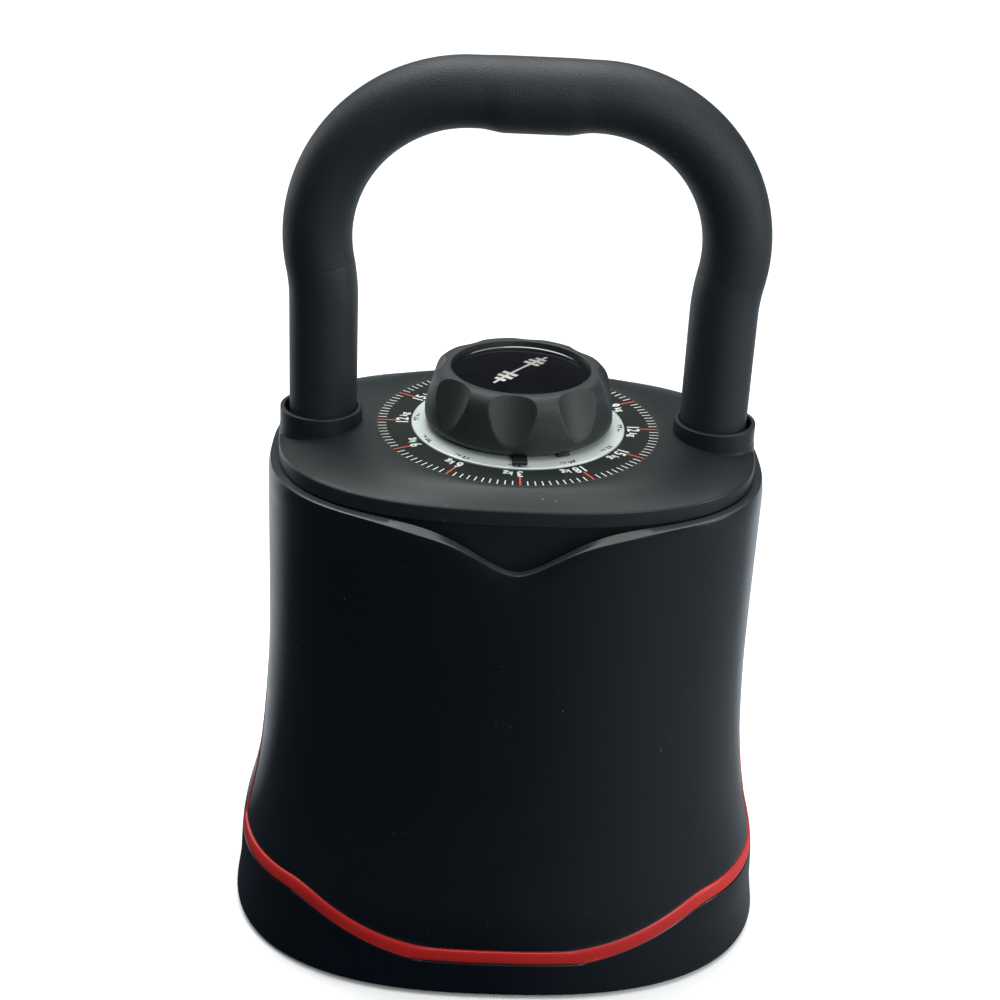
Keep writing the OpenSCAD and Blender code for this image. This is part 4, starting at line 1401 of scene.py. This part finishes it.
class PlatesOperator(bpy.types.Operator):
    """Build the casings of the five plates, with a sunk panel on top and a groove round the side"""

    bl_idname = "kettlebell.plates"
    bl_label = "Plate Casings"

    def execute(self, context):
        low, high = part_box("plate_skin_5")
        half = (high.x, high.y)
        tall = high.z - low.z
        shape = self.casing(half, tall, look("weights").edge)
        lock_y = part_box("lock_rod")[1].y - 3 * MM
        inside = 2.5 * MM
        tube = soften([(0, 0, 0), (7 * MM, 0, 0), (7 * MM, tall - inside / 2, 0), (0, tall - inside / 2, 0)])
        shape = carved(shape, turned(tube, 48, (0, lock_y)), "UNION")
        bore = soften([(0, -MM, 0), (4.5 * MM, -MM, 0), (4.5 * MM, tall + MM, 0), (0, tall + MM, 0)])
        shape = carved(shape, turned(bore, 48, (0, lock_y)), "DIFFERENCE")
        for number in PLATES:
            copy = shape.copy()
            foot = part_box(f"plate_skin_{number}")[0].z
            bmesh.ops.translate(copy, verts=copy.verts[:], vec=(0, 0, foot))
            node = f"plate_skin_{number}"
            piece(f"plate_casing_{number}", copy, casing_finish(), f"plate_{number}", [node])
        shape.free()
        return {"FINISHED"}

    def casing(self, half, tall, edge):
        wall = 2.5 * MM
        hub = 37 * MM

        def side(inset, height):
            return body_ring(half[0] - inset, half[1] - inset, height)

        def panel(part, height):
            """Ring between the hub's circle and the casing's outline."""

            def ring(turn):
                near = Vector((hub * math.cos(turn), hub * math.sin(turn)))
                far = Vector(outline(*half, turn, look("housing").squareness))
                return Vector((*near.lerp(far, part), height))

            return ring

        groove = 0.5 * tall
        rings = [
            round_ring(hub, 0), round_ring(hub, tall - 1 * MM), round_ring(hub + 0.3 * MM, tall - 0.3 * MM),
            round_ring(hub + 1 * MM, tall), round_ring(hub + 4 * MM, tall),
            round_ring(hub + 4.8 * MM, tall - 0.9 * MM),
            panel(0.35, tall - 0.9 * MM), panel(0.6, tall - 0.9 * MM), panel(0.8, tall - 0.9 * MM),
            panel(0.825, tall), panel(0.9, tall),
            side(edge, tall), side(0.62 * edge, tall - 0.08 * edge), side(0.29 * edge, tall - 0.29 * edge),
            side(0.08 * edge, tall - 0.62 * edge), side(0, tall - edge),
            side(0, groove + 3.2 * MM), side(0.9 * MM, groove + 2.2 * MM), side(0.9 * MM, groove - 2.2 * MM),
            side(0, groove - 3.2 * MM), side(0, 1 * MM), side(0.3 * MM, 0.3 * MM), side(1 * MM, 0),
            side(wall, 0), side(wall, tall - wall - 0.9 * MM), panel(0.5, tall - wall - 0.9 * MM),
            round_ring(hub + wall, tall - wall - 0.9 * MM), round_ring(hub + wall, 0),
        ]
        return skin(rings, 288)


class InnerWorksOperator(bpy.types.Operator):
    """Give the pieces that keep their engineered shape their metals, nylon and cement"""

    bl_idname = "kettlebell.inner_works"
    bl_label = "Inner Works"

    def execute(self, context):
        finishes = {
            "handle_tube": tube_finish(),
            "leg_inserts": steel_finish(),
            "carrier_plate": plate_steel_finish(),
            "spindle_bushing": bronze_finish(),
            "detent_bridge": nylon_finish(),
            "cam_spacers": nylon_finish(),
            "detent_wheel": zinc_finish(),
        }
        for name in ("spindle", "drive_key", "lock_rod", "release_post", "detent_balls"):
            finishes[name] = steel_finish()
        for name in ("handle_bolts", "handle_washers", "carrier_screws", "shell_screws", "knob_screw",
                     "spindle_washer", "spindle_nut", "detent_springs", "lock_spring"):
            finishes[name] = zinc_finish()
        filling = cement("Cast Cement", tuple(look("weights").fill_colour))
        for number in PLATES:
            finishes[f"cam_{number}"] = plate_steel_finish()
            finishes[f"plate_hub_{number}"] = steel_finish()
            finishes[f"plate_fill_{number}"] = filling
        for name, finish in finishes.items():
            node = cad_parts[name]
            node.data.materials.clear()
            node.data.materials.append(finish)
        return {"FINISHED"}


class BuildPanel(bpy.types.Panel):
    """Buttons for every group of pieces"""

    bl_idname = "VIEW3D_PT_kettlebell"
    bl_label = "Dial Kettlebell"
    bl_space_type = "VIEW_3D"
    bl_region_type = "UI"
    bl_category = "Kettlebell"

    def draw(self, context):
        for operator in OPERATORS:
            self.layout.operator(operator.bl_idname)
        for name, group in LOOKS.items():
            box = self.layout.box()
            box.label(text=name.title())
            for key in group.__annotations__:
                box.prop(look(name), key)


OPERATORS = (
    StageOperator,
    ShellOperator,
    CoverOperator,
    HandleOperator,
    DialFaceOperator,
    KnobOperator,
    TrayOperator,
    PlatesOperator,
    InnerWorksOperator,
)


def register():
    for group in (*LOOKS.values(), *OPERATORS, BuildPanel):
        bpy.utils.register_class(group)
    for name, group in LOOKS.items():
        setattr(bpy.types.Scene, "kettlebell_" + name, bpy.props.PointerProperty(type=group))


def unregister():
    for name in LOOKS:
        delattr(bpy.types.Scene, "kettlebell_" + name)
    for group in reversed((*LOOKS.values(), *OPERATORS, BuildPanel)):
        bpy.utils.unregister_class(group)


def main():
    register()
    bpy.ops.kettlebell.stage()
    bpy.ops.kettlebell.shell()
    bpy.ops.kettlebell.cover()
    bpy.ops.kettlebell.handle()
    bpy.ops.kettlebell.dial_face()
    bpy.ops.kettlebell.knob()
    bpy.ops.kettlebell.tray()
    bpy.ops.kettlebell.plates()
    bpy.ops.kettlebell.inner_works()


if __name__ == "__main__":
    main()
